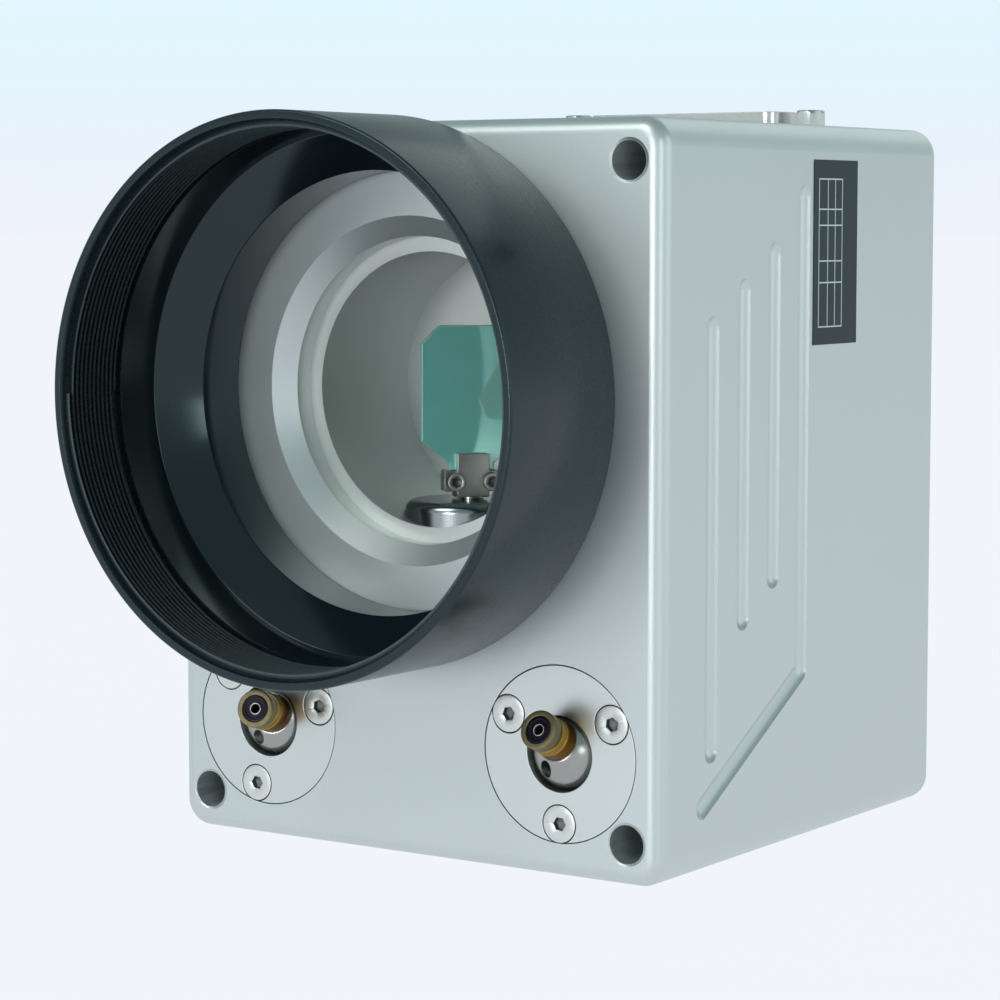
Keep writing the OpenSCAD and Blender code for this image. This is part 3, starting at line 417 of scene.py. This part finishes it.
FINISH = {
    "housing": blasted_housing("blasted housing", (0.60, 0.655, 0.655)),
    "cover": brushed_sheet("brushed cover", (0.58, 0.63, 0.64)),
    "adapter": black_anodised("black anodised adapter"),
    "block": blasted_aluminium("blasted block", (0.68, 0.72, 0.70), 0.46),
    "gasket": moulded("gasket rubber", (0.02, 0.02, 0.02), 0.7),
    "black_screw": plain_metal("black oxide steel", (0.06, 0.06, 0.065), 0.35),
    "bright_screw": plain_metal("zinc plated steel", (0.58, 0.60, 0.58), 0.36),
    "connector_metal": plain_metal("tinned shell", (0.66, 0.67, 0.65), 0.24, 6 * MM),
    "insulator": moulded("black insulator", (0.02, 0.02, 0.022), 0.5),
    "gold": plain_metal("gold contact", (0.85, 0.60, 0.24), 0.2),
    "label": printed_label("ruled label", *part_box("rating_label")),
    "motor_case": turned_metal("turned motor case", (0.34, 0.37, 0.38), Y_AXIS, ("x", "y"), "z"),
    "coil": wound_copper("copper winding"),
    "steel": plain_metal("ground steel", (0.56, 0.57, 0.57), 0.22),
    "magnet": plain_metal("plated magnet", (0.40, 0.40, 0.41), 0.3),
    "cap": moulded("black cap", (0.022, 0.022, 0.025), 0.45),
    "clamp": machined_aluminium("machined clamp", (0.56, 0.56, 0.53), 0.34),
    "y_mirror": coated_mirror("teal coated mirror", (0.34, 0.97, 0.89), (0.40, 0.72, 0.66),
                              (1.0, 0.66, 0.58), Y_MIRROR_FACING),
    "x_mirror": coated_mirror("warm coated mirror", (1.0, 0.50, 0.36), (0.75, 0.55, 0.46),
                              (1.0, 0.80, 0.70), X_MIRROR_FACING),
    "plate": blasted_aluminium("blasted plate", (0.63, 0.675, 0.67), 0.36, 0.12 * MM),
    "plate_screw": socket_screw_steel("nickel plated screw", (0.70, 0.73, 0.71), (0, -1, 0),
                                      Vector((0, FRONT, 0))),
    "seat": moulded("white slide plastic", (0.66, 0.66, 0.62), 0.4, 0.2 * MM, 0.04),
    "ball": plain_metal("polished steel ball", (0.38, 0.39, 0.37), 0.25, 2.2 * MM, 0.0005 * MM),
    "barrel": pointer_brass("right pointer brass", JOINTS["right_lens_turn"], REACH["right"]),
    "cell": moulded("black lens cell", (0.006, 0.005, 0.010), 0.3, shine_tint=(0.45, 0.38, 0.55)),
    "board": circuit_board("solder mask"),
    "parts": moulded("black component", (0.025, 0.025, 0.028), 0.4),
    "post": plain_metal("brass post", (0.62, 0.46, 0.22), 0.28),
}
SLOT_OF = {part["node"]: part["material_slot"] for part in RECORD["subparts"]}


def coat_cad_nodes():
    """Every CAD node that shows gets the procedural finish of its slot."""
    for name, node in frame["nodes"].items():
        for place in node.material_slots:
            place.material = FINISH[SLOT_OF[name]]


# ---------- mesh making ----------

def add_piece(name, mesh, slot, body=HEAD, stands_for=(), sharp=32):
    """Puts a finished mesh in the scene: its finish, its body and the nodes it stands for."""
    if sharp:
        mesh.shade_smooth()
        mesh.set_sharp_from_angle(angle=math.radians(sharp))
    piece = new_object(name, mesh)
    mesh.materials.clear()
    mesh.materials.append(FINISH[slot])
    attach(piece, body)
    if stands_for:
        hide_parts(*stands_for)
    return piece


def mesh_from(name, points, faces, outward=True):
    mesh = bpy.data.meshes.new(name)
    mesh.from_pydata([tuple(p) for p in points], [], faces)
    bm = bmesh.new()
    bm.from_mesh(mesh)
    bmesh.ops.remove_doubles(bm, verts=bm.verts, dist=1e-7)
    if outward:
        bmesh.ops.recalc_face_normals(bm, faces=bm.faces)
    bm.to_mesh(mesh)
    bm.free()
    return mesh


def filleted(corners, steps=5):
    """A closed outline from (across, along, radius) corners, with each corner rounded."""
    outline = []
    for i, (across, along, radius) in enumerate(corners):
        here = Vector((across, along))
        if radius == 0:
            outline.append(here)
            continue
        before = (Vector(corners[i - 1][:2]) - here).normalized()
        after = (Vector(corners[(i + 1) % len(corners)][:2]) - here).normalized()
        half = before.angle(after) / 2
        centre = here + (before + after).normalized() * radius / math.sin(half)
        start = here + before * radius / math.tan(half) - centre
        end = here + after * radius / math.tan(half) - centre
        first = math.atan2(start.y, start.x)
        sweep = math.remainder(math.atan2(end.y, end.x) - first, math.tau)
        for k in range(steps + 1):
            angle = first + sweep * k / steps
            outline.append(centre + radius * Vector((math.cos(angle), math.sin(angle))))
    return outline


def axis_place(origin, direction):
    """Matrix that puts local +Z along direction at origin."""
    z = Vector(direction).normalized()
    x = Vector((0, 0, 1)).cross(z)
    if x.length < 1e-6:
        x = Vector((1, 0, 0))
    x.normalize()
    y = z.cross(x)
    return Matrix.Translation(origin) @ Matrix((x, y, z)).transposed().to_4x4()


def turned(name, outline, place, segments=128):
    """Revolves a closed outline of (radius, height) points round local Z."""
    count = len(outline)
    points = []
    for k in range(segments):
        angle = math.tau * k / segments
        points += [place @ Vector((r * math.cos(angle), r * math.sin(angle), height))
                   for r, height in outline]
    faces = []
    for k in range(segments):
        a, b = k * count, ((k + 1) % segments) * count
        faces += [(a + i, b + i, b + (i + 1) % count, a + (i + 1) % count) for i in range(count)]
    return mesh_from(name, points, faces)


def scaled(outline):
    return [(p[0] * MM, p[1] * MM) for p in outline]


def cut(piece_mesh, cutters):
    """Takes closed cutter meshes out of a closed mesh."""
    target = new_object("cut target", piece_mesh)
    tools = [new_object("cutter", cutter) for cutter in cutters]
    for tool in tools:
        boolean = target.modifiers.new("cut", "BOOLEAN")
        boolean.object = tool
        boolean.solver = "EXACT"
    result = baked(target)
    for used in tools + [target]:
        bpy.data.objects.remove(used)
    return result


def baked(obj):
    """The evaluated object as a plain mesh."""
    graph = bpy.context.evaluated_depsgraph_get()
    graph.update()
    return bpy.data.meshes.new_from_object(obj.evaluated_get(graph))


def softened(node, width, body=HEAD):
    """A CAD node again with its sharp edges broken by a small bevel."""
    mesh = frame["nodes"][node].data.copy()
    bm = bmesh.new()
    bm.from_mesh(mesh)
    bmesh.ops.remove_doubles(bm, verts=bm.verts, dist=1e-7)
    bmesh.ops.dissolve_limit(bm, angle_limit=math.radians(1), verts=bm.verts, edges=bm.edges)
    bm.to_mesh(mesh)
    bm.free()
    mesh.shade_smooth()
    holder = new_object(node + " holder", mesh)
    bevel = holder.modifiers.new("bevel", "BEVEL")
    bevel.width = width
    bevel.segments = 2
    bevel.limit_method = "ANGLE"
    bevel.angle_limit = math.radians(40)
    bevel.use_clamp_overlap = False
    holder.modifiers.new("flat faces", "WEIGHTED_NORMAL").weight = 100
    result = baked(holder)
    bpy.data.objects.remove(holder)
    return add_piece(node + "_soft", result, SLOT_OF[node], body, (node,), None)


# ---------- repeated shapes, made with geometry nodes ----------

class Builder(Tree):
    """A geometry node tree with named inputs. It ends in Realize Instances and Set Material."""

    def __init__(self, name, inputs):
        group = bpy.data.node_groups.new(name, "GeometryNodeTree")
        super().__init__(group)
        group.interface.new_socket("Geometry", in_out="OUTPUT", socket_type="NodeSocketGeometry")
        group.interface.new_socket("Geometry", in_out="INPUT", socket_type="NodeSocketGeometry")
        for label, kind in inputs.items():
            group.interface.new_socket(label, in_out="INPUT", socket_type="NodeSocket" + kind)
        group.interface.new_socket("Finish", in_out="INPUT", socket_type="NodeSocketMaterial")
        self.entry = group.nodes.new("NodeGroupInput")

    def given(self, label):
        return Value(self, self.entry.outputs[label])

    def end(self, geometry):
        real = self.node("GeometryNodeRealizeInstances", None, {"Geometry": geometry})
        painted = self.node("GeometryNodeSetMaterial", None,
                            {"Geometry": real, "Material": self.given("Finish")})
        self.node("NodeGroupOutput", None, {"Geometry": painted})

    def make(self, name, slot, points=(), body=HEAD, stands_for=(), sharp=32, **sizes):
        """Runs the tree on some points and returns the baked piece."""
        start = bpy.data.meshes.new(name)
        start.from_pydata([tuple(p) for p in points], [], [])
        holder = new_object(name + " holder", start)
        modifier = holder.modifiers.new("build", "NODES")
        modifier.node_group = self.data
        values = {key.replace("_", " "): value for key, value in sizes.items()}
        values["Finish"] = FINISH[slot]
        for item in self.data.interface.items_tree:
            if item.in_out == "INPUT" and item.name in values:
                modifier[item.identifier] = values[item.name]
        result = baked(holder)
        bpy.data.objects.remove(holder)
        return add_piece(name, result, slot, body, stands_for, sharp)


def thread_builder():
    """A ridge of trapezoid section wound round an axis."""
    t = Builder("thread ridge", {"Turns": "Float", "Radius": "Float", "Length": "Float",
                                 "Ridge Height": "Float", "Root Width": "Float",
                                 "Crest Width": "Float", "Steps": "Int", "Start": "Vector",
                                 "Tilt": "Vector"})
    path = t.node("GeometryNodeCurveSpiral", None, {
        "Resolution": t.given("Steps"), "Rotations": t.given("Turns"),
        "Start Radius": t.given("Radius"), "End Radius": t.given("Radius"),
        "Height": t.given("Length")})
    level = t.node("GeometryNodeSetCurveNormal", {"mode": "Z_UP"}, {"Curve": path})
    section = t.node("GeometryNodeCurvePrimitiveQuadrilateral", {"mode": "TRAPEZOID"}, {
        "Bottom Width": t.given("Root Width"), "Top Width": t.given("Crest Width"),
        "Height": t.given("Ridge Height"), "Offset": 0.0})
    ridge = t.node("GeometryNodeCurveToMesh", None, {
        "Curve": level, "Profile Curve": section, "Fill Caps": True})
    t.end(t.node("GeometryNodeTransform", None, {
        "Geometry": ridge, "Translation": t.given("Start"), "Rotation": t.given("Tilt")}))
    return t


def set_builder():
    """One shape set at each point, turned along an axis and spun by chance about it."""
    t = Builder("placed set", {"Shape": "Object", "Axis": "Vector", "Spin": "Float", "Seed": "Int"})
    shape = t.node("GeometryNodeObjectInfo", None, {"Object": t.given("Shape")}, "Geometry")
    spin = t.node("FunctionNodeRandomValue", {"data_type": "FLOAT"}, {
        "Max": t.given("Spin"), "Seed": t.given("Seed")}, "Value")
    aim = t.node("FunctionNodeAlignRotationToVector", {"axis": "Z"}, {"Vector": t.given("Axis")})
    turn = t.node("FunctionNodeAxisAngleToRotation", None, {"Axis": (0, 0, 1), "Angle": spin})
    both = t.node("FunctionNodeRotateRotation", {"rotation_space": "LOCAL"},
                  {"Rotation": aim, "Rotate By": turn})
    t.end(t.node("GeometryNodeInstanceOnPoints", None, {
        "Points": t.given("Geometry"), "Instance": shape, "Rotation": both}, "Instances"))
    return t


THREAD = thread_builder()
PLACED = set_builder()


def ring_stack(name, rings, sides=48):
    """A closed solid lofted through rings of (height, radius, corners): corners 0 is round."""
    points, faces = [], []
    for height, radius, corners in rings:
        for k in range(sides):
            angle = math.tau * k / sides
            reach = radius
            if corners:
                step = math.tau / corners
                reach = radius * math.cos(step / 2) / math.cos(angle % step - step / 2)
            points.append((reach * math.cos(angle), reach * math.sin(angle), height))
    for row in range(len(rings) - 1):
        a, b = row * sides, (row + 1) * sides
        faces += [(a + k, a + (k + 1) % sides, b + (k + 1) % sides, b + k) for k in range(sides)]
    points += [(0, 0, rings[0][0]), (0, 0, rings[-1][0])]
    first, last = len(points) - 2, len(points) - 1
    top = (len(rings) - 1) * sides
    faces += [(first, (k + 1) % sides, k) for k in range(sides)]
    faces += [(last, top + k, top + (k + 1) % sides) for k in range(sides)]
    return mesh_from(name, points, faces)


def socket_screw(name, head_r, head_t, shank_r, shank_len, key_r, key_depth, edge=0.15):
    """A hexagon socket screw in millimetres, whose head's top is at height 0."""
    return ring_stack(name, [(h * MM, r * MM, c) for h, r, c in [
        (-head_t - shank_len, shank_r - 0.3, 0),
        (-head_t - shank_len + 0.3, shank_r, 0),
        (-head_t, shank_r, 0),
        (-head_t, head_r, 0),
        (-edge, head_r, 0),
        (-edge * 0.3, head_r - edge * 0.3, 0),
        (0, head_r - edge, 0),
        (0, key_r + 0.16, 0),
        (-0.12, key_r, 6),
        (-key_depth, key_r, 6),
        (-key_depth - 0.35 * key_r, 0.25 * key_r, 6)]])


def screw_set(name, slot, shape, spots, axis, body=HEAD, stands_for=(), spin=math.tau, seed=1):
    """One shape at every spot. Its source object goes once the set is baked."""
    source = new_object(shape.name, shape)
    piece = PLACED.make(name, slot, spots, body, stands_for,
                        Shape=source, Axis=axis, Spin=spin, Seed=seed)
    bpy.data.objects.remove(source)
    return piece


# ---------- the lens adapter ----------

# In millimetres, with heights counted out from the housing's front face
PITCH = 1.0
RIDGE = 0.54
SPIGOT_R = 38.0
THROAT_R = 35.5
CONE_R = 41.5
CONE_START, CONE_END = 1.2, 6.7
RUNOUT_LEN = 0.9
RIM_CHAMFER = 0.9


def lens_adapter():
    """The black turned adapter: spigot, throat, cone, relief, runout groove and thread."""
    thread_end = HOOD_LEN - 1.1 - THREAD_LEN
    relief_r, groove_r = THREAD_R - 0.6, THREAD_R + 0.55
    groove_start = thread_end - RUNOUT_LEN
    corners = [
        (THREAD_R + 0.45, HOOD_LEN, 0.12), (HOOD_R, HOOD_LEN, 0.45), (HOOD_R, 0, 0.1),
        (SPIGOT_R, 0, 0), (SPIGOT_R, -SPIGOT_LEN, 0.2), (THROAT_R, -SPIGOT_LEN, 0.2),
        (THROAT_R, CONE_START, 0.25), (CONE_R, CONE_END, 0.25), (relief_r, CONE_END, 0),
        (relief_r, groove_start, 0), (groove_r, groove_start, 0), (groove_r, thread_end, 0),
        (THREAD_R, thread_end, 0), (THREAD_R, HOOD_LEN - RIM_CHAMFER, 0)]
    place = axis_place((LENS.x, FRONT, LENS.z), OUT_OF_LENS)
    mesh = turned("adapter body", scaled(filleted(corners)), place, 360)
    add_piece("adapter_body", mesh, "adapter", HEAD, ("lens_adapter",))
    turns = int(THREAD_LEN / PITCH)
    start = (LENS.x, FRONT - (thread_end + 0.2) * MM, LENS.z)
    THREAD.make("adapter_thread", "adapter", Turns=float(turns), Length=turns * PITCH * MM,
                Radius=(THREAD_R - RIDGE / 2) * MM, Ridge_Height=RIDGE * MM, Root_Width=0.9 * MM,
                Crest_Width=0.2 * MM, Steps=200, Start=start,
                Tilt=(math.radians(90), math.radians(180), 0), sharp=20)


# ---------- the aiming pointers ----------

# In millimetres. SPIN is how far each ball is turned about its barrel, in degrees.
BARREL_LEN = 17.2
BARREL_R = 3.15
CELL_BORE_R = 2.22
BALL_R = 6.5
ADJUSTER_R = 1.1
ADJUSTER_OFF = 4.7
SPIN = {"right": 18.5, "left": -16.5}


def pointer(side):
    """One ball-mounted pointer: ball, barrel and lens cell along the barrel's axis."""
    joint = JOINTS[side + "_lens_turn"]
    out, across = Vector(joint["axis"]), Vector(JOINTS[side + "_tilt"]["axis"])
    turn = Matrix((across, out.cross(across), out)).transposed().to_4x4()
    place = Matrix.Translation(joint["pos_m"]) @ turn
    front = REACH[side]
    bore = BARREL_R + 0.05
    edge = math.degrees(math.asin((bore + 0.25) / BALL_R))
    arc = [(BALL_R * math.sin(math.radians(a)), BALL_R * math.cos(math.radians(a)))
           for a in [edge + (180 - 2 * edge) * k / 60 for k in range(61)]]
    mouth = BALL_R * math.cos(math.radians(edge))
    outline = arc + [(bore, -mouth), (bore, mouth)]
    ball = turned("ball", scaled(outline), place, 120)
    hole = ring_stack("adjuster", [(z * MM, ADJUSTER_R * MM, 0) for z in (0, 8)], 40)
    hole.transform(place @ Matrix.Rotation(-math.radians(SPIN[side]), 4, "Z")
                   @ Matrix.Translation((0, -ADJUSTER_OFF * MM, 0)))
    add_piece(side + "_ball_turned", cut(ball, [hole]), "ball", side + "_pointer",
              (side + "_ball",), 40)

    rear = front - BARREL_LEN
    neck_r, groove_r, flange_r = BARREL_R - 0.16, BARREL_R - 0.5, BARREL_R - 0.04
    barrel = [(CELL_BORE_R, rear, 0.08), (BARREL_R, rear, 0.15), (BARREL_R, front - 3.9, 0.08),
              (neck_r, front - 3.75, 0.04), (neck_r, front - 2.5, 0.05),
              (groove_r, front - 2.4, 0.03), (groove_r, front - 1.9, 0.03),
              (flange_r, front - 1.8, 0.06), (flange_r, front, 0.22), (CELL_BORE_R, front, 0.12)]
    barrel_mesh = turned("barrel", scaled(filleted(barrel, 4)), place, 96)
    brass = add_piece(side + "_barrel_turned", barrel_mesh, "barrel", side + "_pointer",
                      (side + "_barrel",))
    if side == "left":
        brass.material_slots[0].material = pointer_brass("left pointer brass", joint, front)

    face = front - 0.15
    cell_r = CELL_BORE_R - 0.05
    cell = [(0.6, face - 4.05, 0), (cell_r, face - 4.05, 0.05), (cell_r, face, 0.1),
            (1.75, face, 0.03), (1.65, face - 0.12, 0.03), (1.1, face - 0.12, 0.03),
            (1.0, face - 0.02, 0.03), (0.86, face - 0.02, 0.03), (0.6, face - 0.35, 0.03)]
    add_piece(side + "_lens_turned", turned("lens cell", scaled(filleted(cell, 3)), place, 72),
              "cell", side + "_focus", (side + "_lens_cell",))
    lip_in, lip_out = 0.78, 0.98
    lip = [(lip_in, face - 0.3, 0.02), (lip_out, face - 0.3, 0.02),
           (lip_out, face, 0.08), (lip_in, face, 0.08)]
    add_piece(side + "_lens_lip", turned("lens lip", scaled(filleted(lip, 3)), place, 72),
              "bright_screw", side + "_focus")


# ---------- screws ----------

def plate_screws():
    """Flush flat-headed screws of the two clamp plates. The left plate is turned a little."""
    circle_r = 11 * MM
    for side, turn in (("right", 0), ("left", 13)):
        centre = Vector(JOINTS[side + "_swing"]["pos_m"])
        spots = [(centre.x + circle_r * math.cos(math.radians(a - turn)), FRONT,
                  centre.z + circle_r * math.sin(math.radians(a - turn))) for a in (30, 150, 270)]
        screw = socket_screw("plate screw", head_r=2.95, head_t=1.6, shank_r=1.5, shank_len=6.6,
                             key_r=1.15, key_depth=1.1, edge=0.12)
        screw_set(side + "_plate_screw_set", "plate_screw", screw, spots, OUT_OF_LENS,
                  stands_for=(side + "_plate_screws",), seed=3)


def cover_screws():
    """Three screws down each side of the back cover, and two along its top and bottom."""
    low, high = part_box("cover_screws")
    middle = (HOUSING_LOW.z + HOUSING_HIGH.z) / 2
    head_r, from_middle = 3.0, 20 * MM
    side_x = high.x - 3 * MM
    rise = 0.3 * (HOUSING_HIGH.z - HOUSING_LOW.z)
    spots = [(s * side_x, high.y, middle + k * rise) for s in (-1, 1) for k in (-1, 0, 1)]
    spots += [(s * from_middle, high.y, z) for s in (-1, 1)
              for z in (low.z + 3 * MM, high.z - 3 * MM)]
    screw = socket_screw("cover screw", head_r, head_t=2.1, shank_r=1.5, shank_len=7.8,
                         key_r=1.15, key_depth=1.2, edge=0.3)
    screw_set("cover_screw_set", "bright_screw", screw, spots, (0, 1, 0),
              stands_for=("cover_screws",))


def mirror_clamp(letter, nose, turn):
    """Both halves of one mirror clamp, its two screws and its mirror."""
    body = letter + "_rotor"
    place = Matrix.Translation(nose) @ turn
    from_shaft, head_top, height = 3.05, -4.15 * MM, 3.1 * MM
    spots = [place @ Vector((s * from_shaft * MM, head_top, height)) for s in (-1, 1)]
    screw = socket_screw("clamp screw", head_r=1.5, head_t=1.6, shank_r=0.8, shank_len=4.9,
                         key_r=0.95, key_depth=0.9, edge=0.12)
    out = place.to_3x3() @ Vector((0, -1, 0))
    screws = screw_set(letter + "_clamp_screw_set", "bright_screw", screw, spots, out, body,
                       (letter + "_clamp_screws",), seed=5)
    # These screws' sockets also get painted shade below the tops of their heads.
    screws.material_slots[0].material = socket_screw_steel(
        letter + " clamp screw steel", (0.62, 0.63, 0.60), tuple(out), spots[0])
    for part in ("_clamp_base", "_clamp_jaw", "_mirror"):
        softened(letter + part, 0.15 * MM, body)


def mirrors():
    """Each clamp stands on its own motor's nose, turned to the mirror's rest angle."""
    y_nose = Vector((Y_AXIS.x, Y_AXIS.y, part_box("y_motor_body")[1].z))
    mirror_clamp("y", y_nose, Matrix.Rotation(math.radians(45), 4, "Z"))
    x_nose = Vector((X_AXIS.x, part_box("x_motor_body")[0].y, X_AXIS.z))
    mirror_clamp("x", x_nose, Matrix.Rotation(math.radians(90), 4, "X")
                 @ Matrix.Rotation(math.radians(-135), 4, "Z"))


def connector():
    """Shell, insulator, round-nosed pins and hexagonal jackscrews."""
    softened("connector_shell", 0.12 * MM)
    softened("connector_insulator", 0.12 * MM)
    low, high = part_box("connector_pins")
    middle = (low + high) / 2
    pitch, row = 2.76, 1.42 * MM
    spots = [(middle.x + (i - 6) * pitch * MM, middle.y + row, high.z) for i in range(13)]
    spots += [(middle.x + (i - 5.5) * pitch * MM, middle.y - row, high.z) for i in range(12)]
    pin = ring_stack("pin", [(h * MM, r * MM, 0) for h, r in [
        (-12.6, 0.35), (-12.45, 0.5), (-0.4, 0.5), (-0.2, 0.42), (-0.05, 0.26), (0, 0.12)]], 16)
    screw_set("pin_set", "gold", pin, spots, (0, 0, 1), stands_for=("connector_pins",),
              spin=0.0)

    low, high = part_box("jackscrews")
    head_r = 2.75
    half, drop = (high.x - low.x) / 2 - head_r * MM, (low.z - high.z) / MM
    middle = (low + high) / 2
    spots = [(middle.x + s * half, middle.y, high.z) for s in (-1, 1)]
    jack = ring_stack("jackscrew", [(h * MM, r * MM, c) for h, r, c in [
        (drop, 1.2, 0), (drop + 0.3, 1.4, 0), (-3.1, 1.4, 0), (-3.1, head_r, 6),
        (-0.6, head_r, 6), (-0.15, 2.35, 0), (0, 2.1, 0), (0, 1.55, 0), (-0.25, 1.3, 0),
        (-2.9, 1.3, 0), (-3.0, 0.4, 0)]])
    screw_set("jackscrew_set", "bright_screw", jack, spots, (0, 0, 1),
              stands_for=("jackscrews",), spin=0.0)


# ---------- stage, light and camera ----------

def floor_and_backdrop():
    """A pale floor that keeps the object's shadow and shows as the backdrop's own colour."""
    half = 20.0
    corners = [(-half, -half, 0), (half, -half, 0), (half, half, 0), (-half, half, 0)]
    mesh = mesh_from("floor", corners, [(0, 1, 2, 3)], outward=False)
    floor = new_object("floor", mesh)
    s = Surface("pale floor")
    rays = {name: s.node("ShaderNodeLightPath", output=name)
            for name in ("Is Camera Ray", "Is Glossy Ray", "Is Transmission Ray")}
    seen = s.clamp(rays["Is Camera Ray"] + rays["Is Glossy Ray"] + rays["Is Transmission Ray"])
    matt = s.node("ShaderNodeBsdfDiffuse", None, {"Color": rgba(0.80, 0.82, 0.85)})
    glow = s.node("ShaderNodeEmission", None, {"Color": rgba(0.92, 0.95, 1.0), "Strength": 1.0})
    blend = s.node("ShaderNodeMixShader", None, {0: seen * 0.93, 1: matt, 2: glow})
    s.node("ShaderNodeOutputMaterial", None, {"Surface": blend})
    mesh.materials.append(s.material)


def world_light():
    """Pale sky behind the object, and a softer room above it for light and reflections."""
    world = bpy.data.worlds.new("studio")
    bpy.context.scene.world = world
    world.use_nodes = True
    world.node_tree.nodes.clear()
    t = Tree(world.node_tree)
    way = t.node("ShaderNodeTexCoord", output="Generated")
    height = t.node("ShaderNodeSeparateXYZ", None, {0: way}, "Z")
    seen = t.node("ShaderNodeLightPath", output="Is Camera Ray")
    shown = t.node("ShaderNodeValToRGB", {"stops": [
        (0.0, rgba(0.855, 0.89, 0.96)), (0.03, rgba(0.80, 0.89, 0.98)),
        (0.07, rgba(0.75, 0.92, 0.99))]}, {"Fac": height})
    room = t.node("ShaderNodeValToRGB", {"stops": [
        (0.0, rgba(0.77, 0.815, 0.82)), (0.12, rgba(0.50, 0.61, 0.63)),
        (0.35, rgba(0.36, 0.46, 0.47)), (1.0, rgba(0.27, 0.35, 0.355))]}, {"Fac": height})
    back = t.node("ShaderNodeBackground", None,
                  {"Color": t.mix(seen, room, shown), "Strength": 1.0})
    t.node("ShaderNodeOutputWorld", None, {"Surface": back})


def lamp(name, place, target, size, power, colour=(1, 1, 1)):
    """A square softbox at place that shines at target."""
    light = bpy.data.lights.new(name, "AREA")
    light.size = size
    light.energy = power
    light.color = colour
    new_object(name, light).matrix_world = axis_place(place, Vector(place) - Vector(target))


def lamps():
    """Softboxes high and low in front, and at the right corner, the side and the rear."""
    aim = (0, 0, 0.06)
    lamp("front softbox", (-0.50, -1.3, 1.15), aim, 0.8, 8.0, (1.0, 1.0, 0.98))
    lamp("fill softbox", (-0.12, -1.6, 0.03), aim, 0.5, 6.8)
    lamp("corner softbox", (1.35, -1.05, 0.3), aim, 0.4, 2.0, (0.97, 0.99, 1.0))
    lamp("side softbox", (1.6, 0.5, 0.4), aim, 1.2, 3.0, (0.97, 0.99, 1.0))
    lamp("rear softbox", (0.0, 1.6, 0.9), aim, 1.2, 3.0)


def camera():
    """A long lens at the right-hand front corner, looking slightly down."""
    yaw, pitch = math.radians(34.305), math.radians(-5.221)
    data = bpy.data.cameras.new("camera")
    data.lens = 109.44
    data.sensor_width = 36
    data.clip_start = 0.01
    viewer = new_object("camera", data)
    viewer.location = (0.2836, -0.4357, 0.1015)
    viewer.rotation_euler = (math.radians(90) + pitch, 0, yaw)
    bpy.context.scene.camera = viewer


camera()
floor_and_backdrop()
world_light()
lamps()
coat_cad_nodes()
lens_adapter()
for side in ("right", "left"):
    pointer(side)
plate_screws()
cover_screws()
mirrors()
connector()
for node in ("right_plate", "left_plate"):
    softened(node, 0.12 * MM)
softened("back_cover", 0.25 * MM)
bpy.context.scene.view_settings.view_transform = "Standard"
